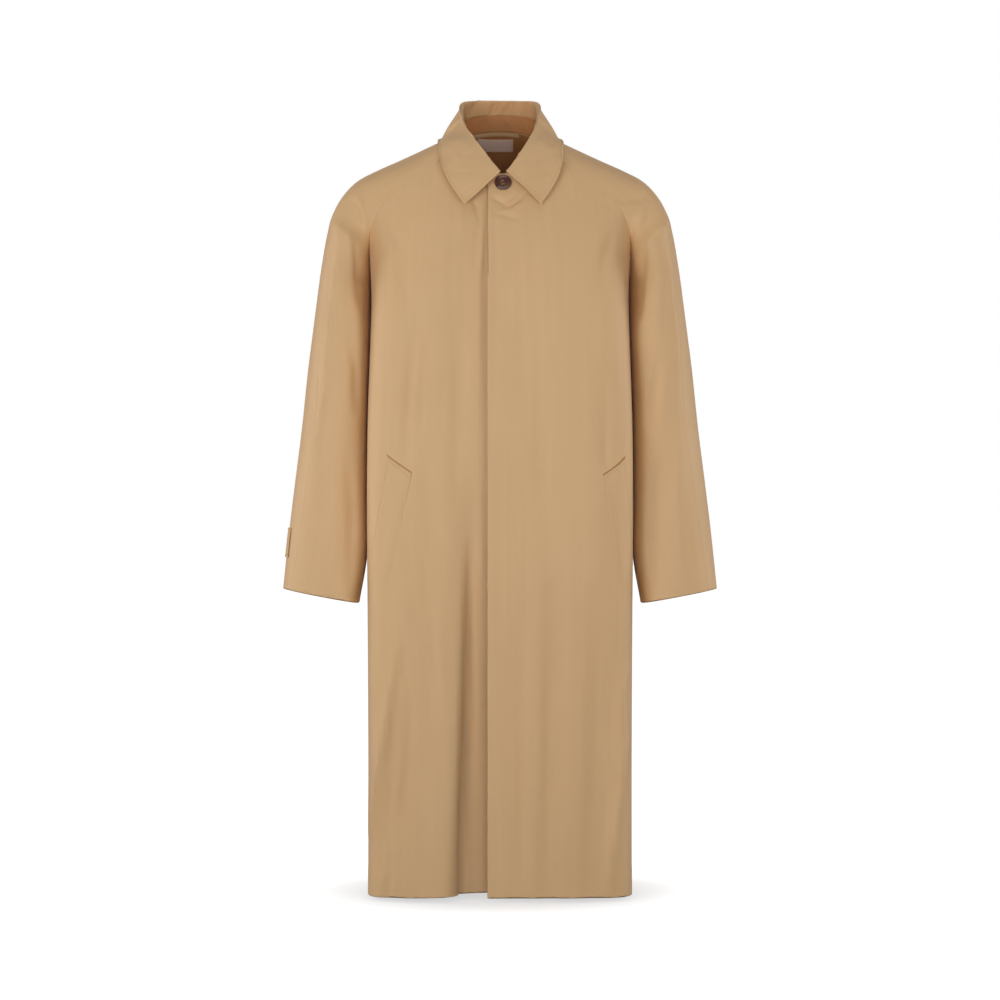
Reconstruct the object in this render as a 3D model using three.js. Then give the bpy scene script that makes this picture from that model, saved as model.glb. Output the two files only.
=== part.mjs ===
// A long raglan coat in cotton gabardine, worn form, hollow and open at neck, cuffs and hem.
// Millimetres. +X is the wearer's left, the front faces -Y, +Z is up.
// The origin is the middle of the neck base, level with the side of the neck.
import * as THREE from "three";
import { mergeVertices } from "three/addons/utils/BufferGeometryUtils.js";

// Cloth
const WALL = 1.6;
const COLLAR_WALL = 1.8;
const TRIM_WALL = 1.4;
const SEAM_GAP = 0.3;
const LAY_GAP = 0.8;

// Levels and front edges
const HEM_Z = -1122;
const UNDERARM_Z = -230;
const NECK_FRONT_Z = -62;
const NECK_BACK_Z = 21;
const TOP_EDGE_X = -18.5;
const UNDERLAP = 28;
const COLLAR_MEET_X = 4;
const HEM_LIFT_UNDER = 3;

// How fine the walls are cut
const SKIRT_ROWS = 17;
const YOKE_ROWS = 11;
const FRONT_COLUMNS = 13;
const BACK_COLUMNS = 9;
const SLEEVE_ROWS = 15;
const SLEEVE_FRONT_COLUMNS = 6;
const SLEEVE_BACK_COLUMNS = 8;
const COLLAR_COLUMNS = { back: 6, backShoulder: 4, frontShoulder: 3, front: 4 };
const WELT_CUTS = { rows: 8, columns: 3 };
const TAB_CUTS = { rows: 3, columns: 14 };
const BUTTON_CUTS = 28;

// Body, one row for each level: half width, depth from the middle, squareness of the section
const FRONT_FORM = [
  { z: -1125, half: 195, deep: 118, square: 6.2 },
  { z: -900, half: 195, deep: 122, square: 5.4 },
  { z: -700, half: 196, deep: 127, square: 4.6 },
  { z: -560, half: 197, deep: 130, square: 4.1 },
  { z: -430, half: 196, deep: 133, square: 3.8 },
  { z: -300, half: 192, deep: 133, square: 3.5 },
  { z: -230, half: 191, deep: 129, square: 3.3 },
  { z: -175, half: 197, deep: 119, square: 3.1 },
  { z: -135, half: 212, deep: 110, square: 2.9 },
  { z: -108, half: 224, deep: 101, square: 2.7 },
  { z: -87, half: 222, deep: 94, square: 2.6 },
  { z: -68, half: 202, deep: 87.5, square: 2.6 },
  { z: -55, half: 184, deep: 83, square: 2.5 },
  { z: -34, half: 150, deep: 73, square: 2.5 },
  { z: -10, half: 100, deep: 60, square: 2.4 },
];
const BACK_FORM = [
  { z: -1125, half: 195, deep: 120, square: 5 },
  { z: -900, half: 195, deep: 121, square: 4.6 },
  { z: -700, half: 196, deep: 121, square: 4.1 },
  { z: -560, half: 197, deep: 122, square: 3.8 },
  { z: -430, half: 196, deep: 125, square: 3.6 },
  { z: -300, half: 192, deep: 131, square: 3.4 },
  { z: -230, half: 191, deep: 133, square: 3.2 },
  { z: -190, half: 194, deep: 133, square: 3.1 },
  { z: -150, half: 200, deep: 130, square: 2.9 },
  { z: -115, half: 195, deep: 124, square: 2.7 },
  { z: -80, half: 175, deep: 117, square: 2.6 },
  { z: -45, half: 144, deep: 107, square: 2.5 },
  { z: -15, half: 106, deep: 95, square: 2.4 },
  { z: 8, half: 74, deep: 84, square: 2.3 },
  { z: 21, half: 62, deep: 78, square: 2.3 },
];

// Raglan seams from the underarm up to the neck, with the crown line over the shoulder between them.
// frontTurn, backTurn: degrees round the section at which each seam lies, 90 at the side.
// crown: the point of the crown line. reach: how far the sleeve's section runs straight on from
// each seam, and over: from the crown.
const RAGLAN = [
  { frontTurn: 90, frontZ: -230, backTurn: 90, backZ: -230, crown: [269, 0, -205], reach: 113, over: 113 },
  { frontTurn: 67, frontZ: -178, backTurn: 67, backZ: -192, crown: [260, 0, -152], reach: 72, over: 92 },
  { frontTurn: 54, frontZ: -137, backTurn: 54, backZ: -155, crown: [250, 0, -117], reach: 50, over: 76 },
  { frontTurn: 45, frontZ: -108, backTurn: 47, backZ: -122, crown: [236, 1, -89], reach: 46, over: 62 },
  { frontTurn: 39, frontZ: -87, backTurn: 44.5, backZ: -90, crown: [214, 2, -65], reach: 44, over: 52 },
  { frontTurn: 35, frontZ: -70, backTurn: 43.4, backZ: -60, crown: [184, 3, -48.5], reach: 40, over: 45 },
  { frontTurn: 32.4, frontZ: -55, backTurn: 43.4, backZ: -33, crown: [150, 4, -33], reach: 34, over: 39 },
  { frontTurn: 31.4, frontZ: -37, backTurn: 44.2, backZ: -11, crown: [114, 5, -16], reach: 27, over: 30 },
  { frontTurn: 33, frontZ: -14, backTurn: 45.3, backZ: 8, crown: [76, 5, 2], reach: 19, over: 20 },
];
const NECK_BACK_X = 55;
const NECK_BACK_SIDE_Z = 8;

// Sleeve below the underarm, one row for each section from the underarm to the cuff
const SLEEVE = [
  { innerX: 193, innerZ: -230, outerX: 269, outerZ: -205, y: 0, front: 85, back: 86 },
  { innerX: 195, innerZ: -300, outerX: 278, outerZ: -270, y: 2, front: 80, back: 84 },
  { innerX: 199, innerZ: -380, outerX: 288.5, outerZ: -350, y: 5, front: 76, back: 80 },
  { innerX: 201, innerZ: -460, outerX: 297, outerZ: -430, y: 6, front: 72, back: 76 },
  { innerX: 201, innerZ: -540, outerX: 307, outerZ: -512, y: 2, front: 67, back: 70 },
  { innerX: 201, innerZ: -620, outerX: 316.5, outerZ: -595, y: -6, front: 61, back: 62 },
  { innerX: 210, innerZ: -694.5, outerX: 324, outerZ: -673.5, y: -16, front: 56, back: 56 },
];

// Share of the sleeve's front half at which the overarm seam lies, from the neck to the cuff
const OVERARM = [
  { along: 0, share: 1 },
  { along: 0.24, share: 1 },
  { along: 0.36, share: 0.88 },
  { along: 0.5, share: 0.76 },
  { along: 0.64, share: 0.67 },
  { along: 0.76, share: 0.69 },
  { along: 1, share: 0.76 },
];

// Collar, one row for each station from the middle of the back to the front edge: how much of the
// rise is stand, the roll line, the edge of the fall, and how far the fall stands off between.
const COLLAR = [
  { at: 0, stand: 0.55, roll: [0, 77.5, 66.8], edge: [0, 100, 8], bulge: 4 },
  { at: 0.2, stand: 0.55, roll: [27, 73, 65.8], edge: [38, 97, 7], bulge: 4 },
  { at: 0.38, stand: 0.55, roll: [46, 56, 59], edge: [74, 82, 3], bulge: 5 },
  { at: 0.52, stand: 0.56, roll: [54, 32, 48], edge: [90, 46, -1], bulge: 4 },
  { at: 0.64, stand: 0.6, roll: [54.5, 0, 29], edge: [91, 6, -4], bulge: 4 },
  { at: 0.75, stand: 0.66, roll: [50, -27, 6.5], edge: [91.5, -37, -17], bulge: 5 },
  { at: 0.84, stand: 0.66, roll: [38, -55, -15.5], edge: [90, -82, -44], bulge: 5 },
  { at: 0.92, stand: 0.48, roll: [21, -79, -41], edge: [77, -96, -78], bulge: 4 },
  { at: 1, stand: 0.45, roll: [4.6, -94, -60.5], edge: [56, -106, -110], bulge: 3 },
];
// Share of the way round the neckline at which each seam meets it
const NECK_SHARES = { backSeam: 0.38, crown: 0.64, frontSeam: 0.79 };
// How far the fall stays off the cloth beneath, and from how far round that cloth is felt
const COLLAR_CLEAR = 2.9;
const COLLAR_FEEL = 9;
// The round of the collar's fold at the roll line
const FOLD_WIDTH = 5;
const FOLD_HEIGHT = 2.4;
// Places across the fall from the stand to its edge, and the first of them that is past the fold
const FALL_PLACES = [0, 0.11, 0.2, 0.28, 0.36, 0.44, 0.56, 0.7, 0.85, 1];
const FALL_OVER = 4;

// Soft folds of the cloth. side: -1 for the viewer's left, 1 for the right. x and z of both ends,
// how wide the trough is and how deep.
const FOLD_SWELL = 0.7;
const FOLDS_FULL_TURN = 0.95;
const FRONT_FOLDS = [
  { side: -1, x: 103, topZ: -430, x2: 100, endZ: -1000, wide: 16, deep: 5 },
  { side: -1, x: 150, topZ: -760, x2: 158, endZ: -1180, wide: 16, deep: 7 },
  { side: -1, x: 121, topZ: -240, x2: 138, endZ: -500, wide: 17, deep: 4 },
  { side: 1, x: 30, topZ: -255, x2: 31, endZ: -440, wide: 16, deep: 3 },
  { side: 1, x: 150, topZ: -650, x2: 132, endZ: -1190, wide: 18, deep: 7 },
  { side: 1, x: 84, topZ: -600, x2: 70, endZ: -1180, wide: 20, deep: 5 },
  { side: 1, x: 152, topZ: -330, x2: 158, endZ: -520, wide: 17, deep: 4 },
];
const BACK_FOLDS = [
  { side: -1, x: 70, topZ: -140, x2: 92, endZ: -1180, wide: 24, deep: 8 },
  { side: -1, x: 150, topZ: -420, x2: 146, endZ: -1180, wide: 20, deep: 7 },
  { side: 1, x: 84, topZ: -180, x2: 76, endZ: -1190, wide: 24, deep: 8 },
  { side: 1, x: 152, topZ: -300, x2: 150, endZ: -1000, wide: 20, deep: 6 },
];
// Sleeve folds run down the sleeve; round is the place round the section, 0 at the underarm seam,
// 1 at the outermost line, 2 at the underarm again
const SLEEVE_FOLDS = [
  { side: -1, round: 0.42, from: 0.3, to: 0.6, wide: 0.1, deep: 4 },
  { side: -1, round: 0.36, from: 0.55, to: 1.02, wide: 0.12, deep: 5 },
  { side: -1, round: 1.45, from: 0.3, to: 0.95, wide: 0.12, deep: 6 },
  { side: 1, round: 0.4, from: 0.32, to: 0.62, wide: 0.1, deep: 4 },
  { side: 1, round: 0.46, from: 0.66, to: 0.98, wide: 0.12, deep: 4 },
  { side: 1, round: 1.5, from: 0.34, to: 1.02, wide: 0.12, deep: 6 },
];

// The under front falls back behind the top front
const UNDER_REST = [
  { z: -1121, back: 5.5 },
  { z: -560, back: 6 },
  { z: -350, back: 7 },
  { z: -150, back: 6.5 },
  { z: -70, back: 3.6 },
];
const UNDER_FALL = [
  { z: -1121, back: 50 },
  { z: -850, back: 34 },
  { z: -640, back: 14 },
  { z: -460, back: 0 },
  { z: -70, back: 0 },
];
// Distances from the middle between which both die out, and how far that stays off the seam
const UNDER_REST_ENDS = [30, 105];
const UNDER_FALL_ENDS = [14, 88];
const UNDER_SEAM_CLEAR = 8;

// Pocket welts, one row a side: where the inner long edge starts and ends
const WELT_WIDE = 38;
const WELTS = [
  { side: -1, name: "pocket_welt_right", topX: 128, topZ: -503, endX: 163, endZ: -664, rise: 26 },
  { side: 1, name: "pocket_welt_left", topX: 150, topZ: -506, endX: 177, endZ: -668, rise: 27 },
];

// Buttons
const NECK_BUTTON = { x: 4.4, z: -76.5, across: 25, thick: 2.6 };
const TAB_BUTTON = { across: 18, thick: 3 };

// Sleeve tabs, one row a side: rounds of the two ends, and levels of the two edges along the sleeve
const TABS = [
  { side: -1, name: "sleeve_tab_right", start: 1.72, end: 0.87, high: 0.885, low: 0.94, button: 1.14 },
  { side: 1, name: "sleeve_tab_left", start: 1.9, end: 1.1, high: 0.885, low: 0.94, button: 1.24 },
];

// Inside the back neck
const LABEL = { left: -34, right: 20, top: 9.5, bottom: -8.5 };
const LOOP = { left: -40, right: 29, below: 2.2, wide: 5, bow: 2.5 };

// Colours, measured as the eye sees them
const CLOTH = { color: 0xc4a27b, roughness: 0.78, metalness: 0 };
const INSIDE_TRIM = { color: 0xb09a8e, roughness: 0.8, metalness: 0 };
const HORN = { color: 0x4a2b22, roughness: 0.35, metalness: 0 };

// Plain helpers
const mix = (a, b, t) => a + (b - a) * t;
const clamp01 = (t) => Math.min(1, Math.max(0, t));
const ease = (a, b, t) => {
  const k = clamp01((t - a) / (b - a));
  return k * k * (3 - 2 * k);
};
const vec = (x, y, z) => new THREE.Vector3(x, y, z);
const steps = (n) => Array.from({ length: n + 1 }, (_, i) => i / n);

// Smooth value of one column of a table at a place in its first column, whichever way that runs
function look(rows, column, place, key = "z") {
  const upward = rows[0][key] < rows[rows.length - 1][key];
  const list = upward ? rows : [...rows].reverse();
  const last = list.length - 1;
  let i = list.findIndex((row) => row[key] > place) - 1;
  if (i === -2) i = last - 1;
  i = Math.min(last - 1, Math.max(0, i));
  const slope = (k) => {
    const a = list[Math.max(0, k - 1)];
    const b = list[Math.min(last, k + 1)];
    return (b[column] - a[column]) / (b[key] - a[key]);
  };
  const [a, b] = [list[i], list[i + 1]];
  const span = b[key] - a[key];
  const t = clamp01((place - a[key]) / span);
  const t2 = t * t;
  const t3 = t2 * t;
  return (
    (2 * t3 - 3 * t2 + 1) * a[column] +
    (t3 - 2 * t2 + t) * span * slope(i) +
    (3 * t2 - 2 * t3) * b[column] +
    (t3 - t2) * span * slope(i + 1)
  );
}

// The same for a column of points
function lookPoint(rows, column, place, key) {
  const part = (n) => rows.map((row) => ({ [key]: row[key], value: row[column][n] }));
  return vec(...[0, 1, 2].map((n) => look(part(n), "value", place, key)));
}

// A table's rows taken as evenly spaced
const numbered = (rows) => rows.map((row, i) => ({ ...row, share: i / (rows.length - 1) }));
const lookEven = (rows, column, t) => look(numbered(rows), column, t, "share");

// Body section: angle 0 at the middle of the front or back, a quarter turn at the side
function onForm(form, facing, angle, z) {
  const half = look(form, "half", z);
  const deep = look(form, "deep", z);
  const power = look(form, "square", z);
  const s = Math.sin(angle);
  const c = Math.max(0, Math.cos(angle));
  const size = (Math.abs(s) ** power + c ** power) ** (1 / power);
  return vec((half * s) / size, (facing * deep * c) / size, z);
}

// The angle at which the section passes a given x
function angleAt(form, x, z) {
  const power = look(form, "square", z);
  const share = Math.min(0.99999, Math.abs(x) / look(form, "half", z));
  return Math.sign(x) * Math.atan2(share, (1 - share ** power) ** (1 / power));
}

// Depth of the soft folds at a point of the front or back
function foldDepth(folds, side, x, z) {
  let depth = 0;
  for (const fold of folds.filter((row) => row.side === side)) {
    const along = (z - fold.topZ) / (fold.endZ - fold.topZ);
    if (along <= 0 || along >= 1) continue;
    const middle = mix(fold.x, fold.x2, along);
    const across = (x - middle) / fold.wide;
    depth += fold.deep * Math.sin(Math.PI * along) ** FOLD_SWELL * Math.exp(-across * across);
  }
  return depth;
}

// How far the under front lies behind the form; x is measured away from the overlap
function underBack(x, z) {
  const turn = THREE.MathUtils.degToRad(look(RAGLAN, "frontTurn", z, "frontZ"));
  const seamX = onForm(FRONT_FORM, -1, turn, z).x - UNDER_SEAM_CLEAR;
  const [near, far] = UNDER_REST_ENDS;
  const rest = look(UNDER_REST, "back", z) * (1 - ease(near, Math.min(far, seamX), x));
  const fall = look(UNDER_FALL, "back", z) * (1 - ease(...UNDER_FALL_ENDS, x));
  return rest + Math.max(0, fall);
}

// A point of a front, for the wearer's left; the wearer's right is mirrored afterwards
function frontPoint(side, angle, z) {
  const p = onForm(FRONT_FORM, -1, angle, z);
  const settle = ease(Math.PI / 2, FOLDS_FULL_TURN, angle);
  p.y += foldDepth(FRONT_FOLDS, side, p.x, z) * settle;
  if (side < 0) p.y += underBack(p.x, z);
  return p;
}

function backPoint(side, angle, z) {
  const p = onForm(BACK_FORM, 1, angle, z);
  const settle = ease(Math.PI / 2, FOLDS_FULL_TURN, angle);
  p.y -= foldDepth(BACK_FOLDS, side, p.x, z) * settle;
  return p;
}

// Patch between four edges, each a function that gives [angle, z]
function patch(bottom, top, inner, outer) {
  return (w, k) =>
    [0, 1].map((n) => {
      const ruledUp = mix(bottom(w)[n], top(w)[n], k);
      const ruledAcross = mix(inner(k)[n], outer(k)[n], w);
      const corners = mix(mix(bottom(0)[n], bottom(1)[n], w), mix(top(0)[n], top(1)[n], w), k);
      return ruledUp + ruledAcross - corners;
    });
}

// Neckline of the fronts as [x, z]: level from the front edge, then a curve to the raglan seam
const NECK_LEVEL_X = 8;
const NECK_LEVEL_SHARE = 0.18;
const NECK_CURVE = new THREE.SplineCurve([
  new THREE.Vector2(NECK_LEVEL_X, NECK_FRONT_Z),
  new THREE.Vector2(31, -54),
  new THREE.Vector2(50, -35),
  new THREE.Vector2(61, -14),
]);

function neckFront(edgeX, w) {
  const onLevel = w / NECK_LEVEL_SHARE;
  if (onLevel < 1) return [mix(edgeX, NECK_LEVEL_X, onLevel), NECK_FRONT_Z];
  const p = NECK_CURVE.getPoint((w - NECK_LEVEL_SHARE) / (1 - NECK_LEVEL_SHARE));
  return [p.x, p.y];
}

const NECK_BACK_BEND = 2.4;
function neckBack(w) {
  return [mix(0, NECK_BACK_X, w), mix(NECK_BACK_Z, NECK_BACK_SIDE_Z, w ** NECK_BACK_BEND)];
}

// Grid of a front: rows go up from the hem, columns from the front edge to the side
function frontGrid(side) {
  const edgeX = side > 0 ? TOP_EDGE_X : -UNDERLAP;
  const lift = side > 0 ? 0 : HEM_LIFT_UNDER;
  const angle = (x, z) => angleAt(FRONT_FORM, x, z);
  const yoke = patch(
    (w) => [mix(angle(edgeX, UNDERARM_Z), Math.PI / 2, w), UNDERARM_Z],
    (w) => {
      const [x, z] = neckFront(edgeX, w);
      return [angle(x, z), z];
    },
    (k) => {
      const z = mix(UNDERARM_Z, NECK_FRONT_Z, k);
      return [angle(edgeX, z), z];
    },
    (k) => raglanPlace("frontTurn", "frontZ", k),
  );
  const columns = steps(FRONT_COLUMNS);
  const skirt = steps(SKIRT_ROWS).map((k) =>
    columns.map((w) => {
      const z = mix(HEM_Z, UNDERARM_Z, k);
      const x = w * look(FRONT_FORM, "half", z);
      const up = lift * (1 - k) * (1 - ease(...UNDER_FALL_ENDS, x));
      return frontPoint(side, mix(angle(edgeX, z), Math.PI / 2, w), z + up);
    }),
  );
  const top = steps(YOKE_ROWS)
    .slice(1)
    .map((k) => columns.map((w) => frontPoint(side, ...yoke(w, k))));
  return [...skirt, ...top];
}

// Angle and level of a raglan seam, from the underarm (0) to the neck (1)
function raglanPlace(turnColumn, zColumn, k) {
  return [THREE.MathUtils.degToRad(lookEven(RAGLAN, turnColumn, k)), lookEven(RAGLAN, zColumn, k)];
}

function backGrid(side) {
  const yoke = patch(
    (w) => [(w * Math.PI) / 2, UNDERARM_Z],
    (w) => {
      const [x, z] = neckBack(w);
      return [angleAt(BACK_FORM, x, z), z];
    },
    (k) => [0, mix(UNDERARM_Z, NECK_BACK_Z, k)],
    (k) => raglanPlace("backTurn", "backZ", k),
  );
  const columns = steps(BACK_COLUMNS);
  const skirt = steps(SKIRT_ROWS).map((k) =>
    columns.map((w) => backPoint(side, (w * Math.PI) / 2, mix(HEM_Z, UNDERARM_Z, k))),
  );
  const top = steps(YOKE_ROWS)
    .slice(1)
    .map((k) => columns.map((w) => backPoint(side, ...yoke(w, k))));
  return [...skirt, ...top];
}

// Sleeve section: round 0 at the inner seam, 1 at the outermost line, 2 back at the inner seam.
// along runs from 0 at the neck to 1 at the cuff, and passes the underarm at YOKE_SHARE.
const YOKE_SHARE = 0.4;

function bezier(a, b, c, d, t) {
  const s = 1 - t;
  return a
    .clone()
    .multiplyScalar(s * s * s)
    .addScaledVector(b, 3 * s * s * t)
    .addScaledVector(c, 3 * s * t * t)
    .addScaledVector(d, t * t * t);
}

// Direction in which the sleeve leaves a raglan seam: on with the body at the top, then folding
// back against it towards the underarm
const FOLDS_BACK_BELOW = [0.02, 0.42];
function leave(form, facing, place, k) {
  const [angle, z] = place;
  const here = onForm(form, facing, angle, z);
  const before = onForm(form, facing, angle - 0.08, z - 1.5);
  const onward = here.clone().sub(before).normalize();
  const folded = vec(0.12, facing, 0);
  return onward.lerp(folded, 1 - ease(...FOLDS_BACK_BELOW, k)).normalize();
}

function shoulderPoint(round, k) {
  const front = round <= 1;
  const [form, facing] = front ? [FRONT_FORM, -1] : [BACK_FORM, 1];
  const names = front ? ["frontTurn", "frontZ"] : ["backTurn", "backZ"];
  const place = raglanPlace(...names, k);
  const seam = onForm(form, facing, ...place);
  const crown = lookPoint(numbered(RAGLAN), "crown", k, "share");
  const reach = lookEven(RAGLAN, "reach", k);
  const over = lookEven(RAGLAN, "over", k);
  const start = seam.clone().addScaledVector(leave(form, facing, place, k), reach);
  const end = crown.clone().add(vec(0, facing * over, 0));
  return bezier(seam, start, end, crown, front ? round : 2 - round);
}

function armPoint(round, t) {
  const at = (name) => lookEven(SLEEVE, name, t);
  const front = round <= 1;
  const facing = front ? -1 : 1;
  const inner = vec(at("innerX"), at("y"), at("innerZ"));
  const outer = vec(at("outerX"), at("y"), at("outerZ"));
  const bow = vec(0, (facing * at(front ? "front" : "back") * 4) / 3, 0);
  const [a, b] = [inner.clone().add(bow), outer.clone().add(bow)];
  return bezier(inner, a, b, outer, front ? round : 2 - round);
}

function sleevePoint(side, round, along) {
  const p =
    along < YOKE_SHARE
      ? shoulderPoint(round, 1 - along / YOKE_SHARE)
      : armPoint(round, (along - YOKE_SHARE) / (1 - YOKE_SHARE));
  for (const fold of SLEEVE_FOLDS.filter((row) => row.side === side)) {
    const share = (along - fold.from) / (fold.to - fold.from);
    if (share <= 0 || share >= 1) continue;
    const across = (round - fold.round) / fold.wide;
    const depth = fold.deep * Math.sin(Math.PI * share) ** FOLD_SWELL * Math.exp(-across * across);
    p.y += round <= 1 ? depth : -depth;
  }
  return p;
}

const sleeveLevels = [
  ...steps(YOKE_ROWS).map((k) => k * YOKE_SHARE),
  ...steps(SLEEVE_ROWS)
    .slice(1)
    .map((k) => mix(YOKE_SHARE, 1, k)),
];

function sleeveGrid(side, front) {
  return sleeveLevels.map((along) => {
    const seam = look(OVERARM, "share", along, "along");
    const [a, b, n] = front ? [0, seam, SLEEVE_FRONT_COLUMNS] : [2, seam, SLEEVE_BACK_COLUMNS];
    return steps(n).map((w) => sleevePoint(side, mix(a, b, w), along));
  });
}

// Grids and their walls
const mirrored = (grid) => grid.map((row) => row.map((p) => vec(-p.x, p.y, p.z)));

function normalsOf(grid, turn) {
  const rows = grid.length - 1;
  return grid.map((row, j) =>
    row.map((_, i) => {
      const columns = row.length - 1;
      const across = grid[j][Math.min(columns, i + 1)].clone().sub(grid[j][Math.max(0, i - 1)]);
      const up = grid[Math.min(rows, j + 1)][i].clone().sub(grid[Math.max(0, j - 1)][i]);
      return across.cross(up).normalize().multiplyScalar(turn);
    }),
  );
}

function sheet(name, grid, turn, finish, wall = WALL) {
  return { name, grid, normals: normalsOf(grid, turn), finish, wall };
}

// Leans the normals of two edges that are sewn together towards each other
function sew(edgeA, edgeB) {
  edgeA.forEach((a, i) => {
    const b = edgeB[i];
    const share = clamp01(a.dot(b));
    const [was, other] = [a.clone(), b.clone()];
    a.addScaledVector(other, share).normalize();
    b.addScaledVector(was, share).normalize();
  });
}

const columnOf = (piece, i) => piece.normals.map((row) => row.at(i));

// Draws the border of a grid back by half a seam gap, along the cloth and into it
function drawIn(grid, normals) {
  const rows = grid.length - 1;
  const columns = grid[0].length - 1;
  return grid.map((row, j) =>
    row.map((p, i) => {
      const q = p.clone();
      const pull = (other) => q.addScaledVector(other.clone().sub(p).normalize(), SEAM_GAP / 2);
      if (i === 0) pull(grid[j][1]);
      if (i === columns) pull(grid[j][columns - 1]);
      if (j === 0) pull(grid[1][i]);
      if (j === rows) pull(grid[rows - 1][i]);
      if (i === 0 || i === columns) q.addScaledVector(normals[j][i], -SEAM_GAP / 2);
      return q;
    }),
  );
}

// The closed wall of a sheet: outer face, inner face and rims
function wallOf({ grid, normals, wall }) {
  const outer = drawIn(grid, normals);
  const inner = outer.map((row, j) =>
    row.map((p, i) => p.clone().addScaledVector(normals[j][i], -wall)),
  );
  const faces = [];
  const quad = (a, b, c, d) => faces.push(a, b, c, a, c, d);
  const rows = grid.length - 1;
  const columns = grid[0].length - 1;
  for (let j = 0; j < rows; j++)
    for (let i = 0; i < columns; i++) {
      quad(outer[j][i], outer[j][i + 1], outer[j + 1][i + 1], outer[j + 1][i]);
      quad(inner[j][i], inner[j + 1][i], inner[j + 1][i + 1], inner[j][i + 1]);
    }
  for (let i = 0; i < columns; i++) {
    quad(outer[0][i], inner[0][i], inner[0][i + 1], outer[0][i + 1]);
    quad(outer[rows][i], outer[rows][i + 1], inner[rows][i + 1], inner[rows][i]);
  }
  for (let j = 0; j < rows; j++) {
    quad(outer[j][0], outer[j + 1][0], inner[j + 1][0], inner[j][0]);
    quad(outer[j][columns], inner[j][columns], inner[j + 1][columns], outer[j + 1][columns]);
  }
  return faces;
}

// A mesh from triangle corners, turned so that it faces out
function meshOf(name, corners, finish) {
  let volume = 0;
  for (let i = 0; i < corners.length; i += 3)
    volume += corners[i].clone().cross(corners[i + 1]).dot(corners[i + 2]);
  if (volume < 0)
    for (let i = 0; i < corners.length; i += 3)
      [corners[i + 1], corners[i + 2]] = [corners[i + 2], corners[i + 1]];
  const geometry = mergeVertices(new THREE.BufferGeometry().setFromPoints(corners), 1e-3);
  geometry.computeVertexNormals();
  const mesh = new THREE.Mesh(geometry, new THREE.MeshStandardMaterial(finish));
  mesh.name = name;
  return mesh;
}

// Fronts, backs and sleeves, made for the wearer's left and mirrored for the right
const onSide = (side, grid) => (side > 0 ? grid : mirrored(grid));
const front = {};
const back = {};
const sleeveFront = {};
const sleeveBack = {};
for (const side of [1, -1]) {
  const word = side > 0 ? "left" : "right";
  front[side] = sheet(`front_${word}`, onSide(side, frontGrid(side)), side, CLOTH);
  back[side] = sheet(`back_${word}`, onSide(side, backGrid(side)), -side, CLOTH);
  const sleeves = [true, false].map((isFront) => onSide(side, sleeveGrid(side, isFront)));
  sleeveFront[side] = sheet(`sleeve_${word}_front`, sleeves[0], -side, CLOTH);
  sleeveBack[side] = sheet(`sleeve_${word}_back`, sleeves[1], side, CLOTH);
}
for (const side of [1, -1]) {
  const belowArm = (edge) => edge.slice(0, SKIRT_ROWS + 1);
  const yokeUp = (edge) => edge.slice(SKIRT_ROWS + 1);
  const yokeDown = (edge) => edge.slice(0, YOKE_ROWS).reverse();
  sew(belowArm(columnOf(front[side], -1)), belowArm(columnOf(back[side], -1)));
  sew(yokeUp(columnOf(front[side], -1)), yokeDown(columnOf(sleeveFront[side], 0)));
  sew(yokeUp(columnOf(back[side], -1)), yokeDown(columnOf(sleeveBack[side], 0)));
  sew(columnOf(sleeveFront[side], -1), columnOf(sleeveBack[side], -1));
  const arm = (edge) => edge.slice(YOKE_ROWS);
  sew(arm(columnOf(sleeveFront[side], 0)), arm(columnOf(sleeveBack[side], 0)));
}
sew(columnOf(back[1], 0), columnOf(back[-1], 0));

// Collar
// The neckline from the middle of the back (0) over the shoulder to the front edge (1)
function necklineAt(at) {
  const share = Math.abs(at);
  const { backSeam, crown, frontSeam } = NECK_SHARES;
  let p;
  if (share <= backSeam) {
    const [x, z] = neckBack(share / backSeam);
    p = onForm(BACK_FORM, 1, angleAt(BACK_FORM, x, z), z);
  } else if (share < frontSeam) {
    const round =
      share < crown
        ? mix(2, 1, (share - backSeam) / (crown - backSeam))
        : mix(1, 0, (share - crown) / (frontSeam - crown));
    p = shoulderPoint(round, 1);
  } else {
    const [x, z] = neckFront(0, mix(1, 0.12, (share - frontSeam) / (1 - frontSeam)));
    p = onForm(FRONT_FORM, -1, angleAt(FRONT_FORM, x, z), z);
  }
  p.x *= Math.sign(at || 1);
  return p;
}

// A point of the roll line or the edge, on either side; both leaves meet a little off the middle
const LEAF_STARTS = 0.6;
function collarAt(line, at) {
  const flip = ({ at: place, [line]: [x, y, z] }) => ({ at: -place, [line]: [-x, y, z] });
  const p = lookPoint([...COLLAR.slice(1).map(flip).reverse(), ...COLLAR], line, at, "at");
  p.x += COLLAR_MEET_X * ease(LEAF_STARTS, 1, Math.abs(at));
  return p;
}

// Keeps a point of the collar clear of the cloth beneath, felt as a smooth mean of that cloth's
// points and their normals
function clearOf(cloth, p, need) {
  const [spot, normal] = [vec(0, 0, 0), vec(0, 0, 0)];
  let total = 0;
  for (const { q, n } of cloth) {
    const weight = Math.exp(-p.distanceToSquared(q) / COLLAR_FEEL ** 2);
    spot.addScaledVector(q, weight);
    normal.addScaledVector(n, weight);
    total += weight;
  }
  if (total < 1e-6) return p;
  spot.divideScalar(total);
  normal.normalize();
  const height = p.clone().sub(spot).dot(normal);
  return p.addScaledVector(normal, Math.max(0, need - height));
}

function clothOf(pieces, keep) {
  const points = pieces.flatMap(({ grid, normals }) =>
    grid.flatMap((row, j) => row.map((q, i) => ({ q, n: normals[j][i] }))),
  );
  return points.filter(({ q }) => keep(q));
}

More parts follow.
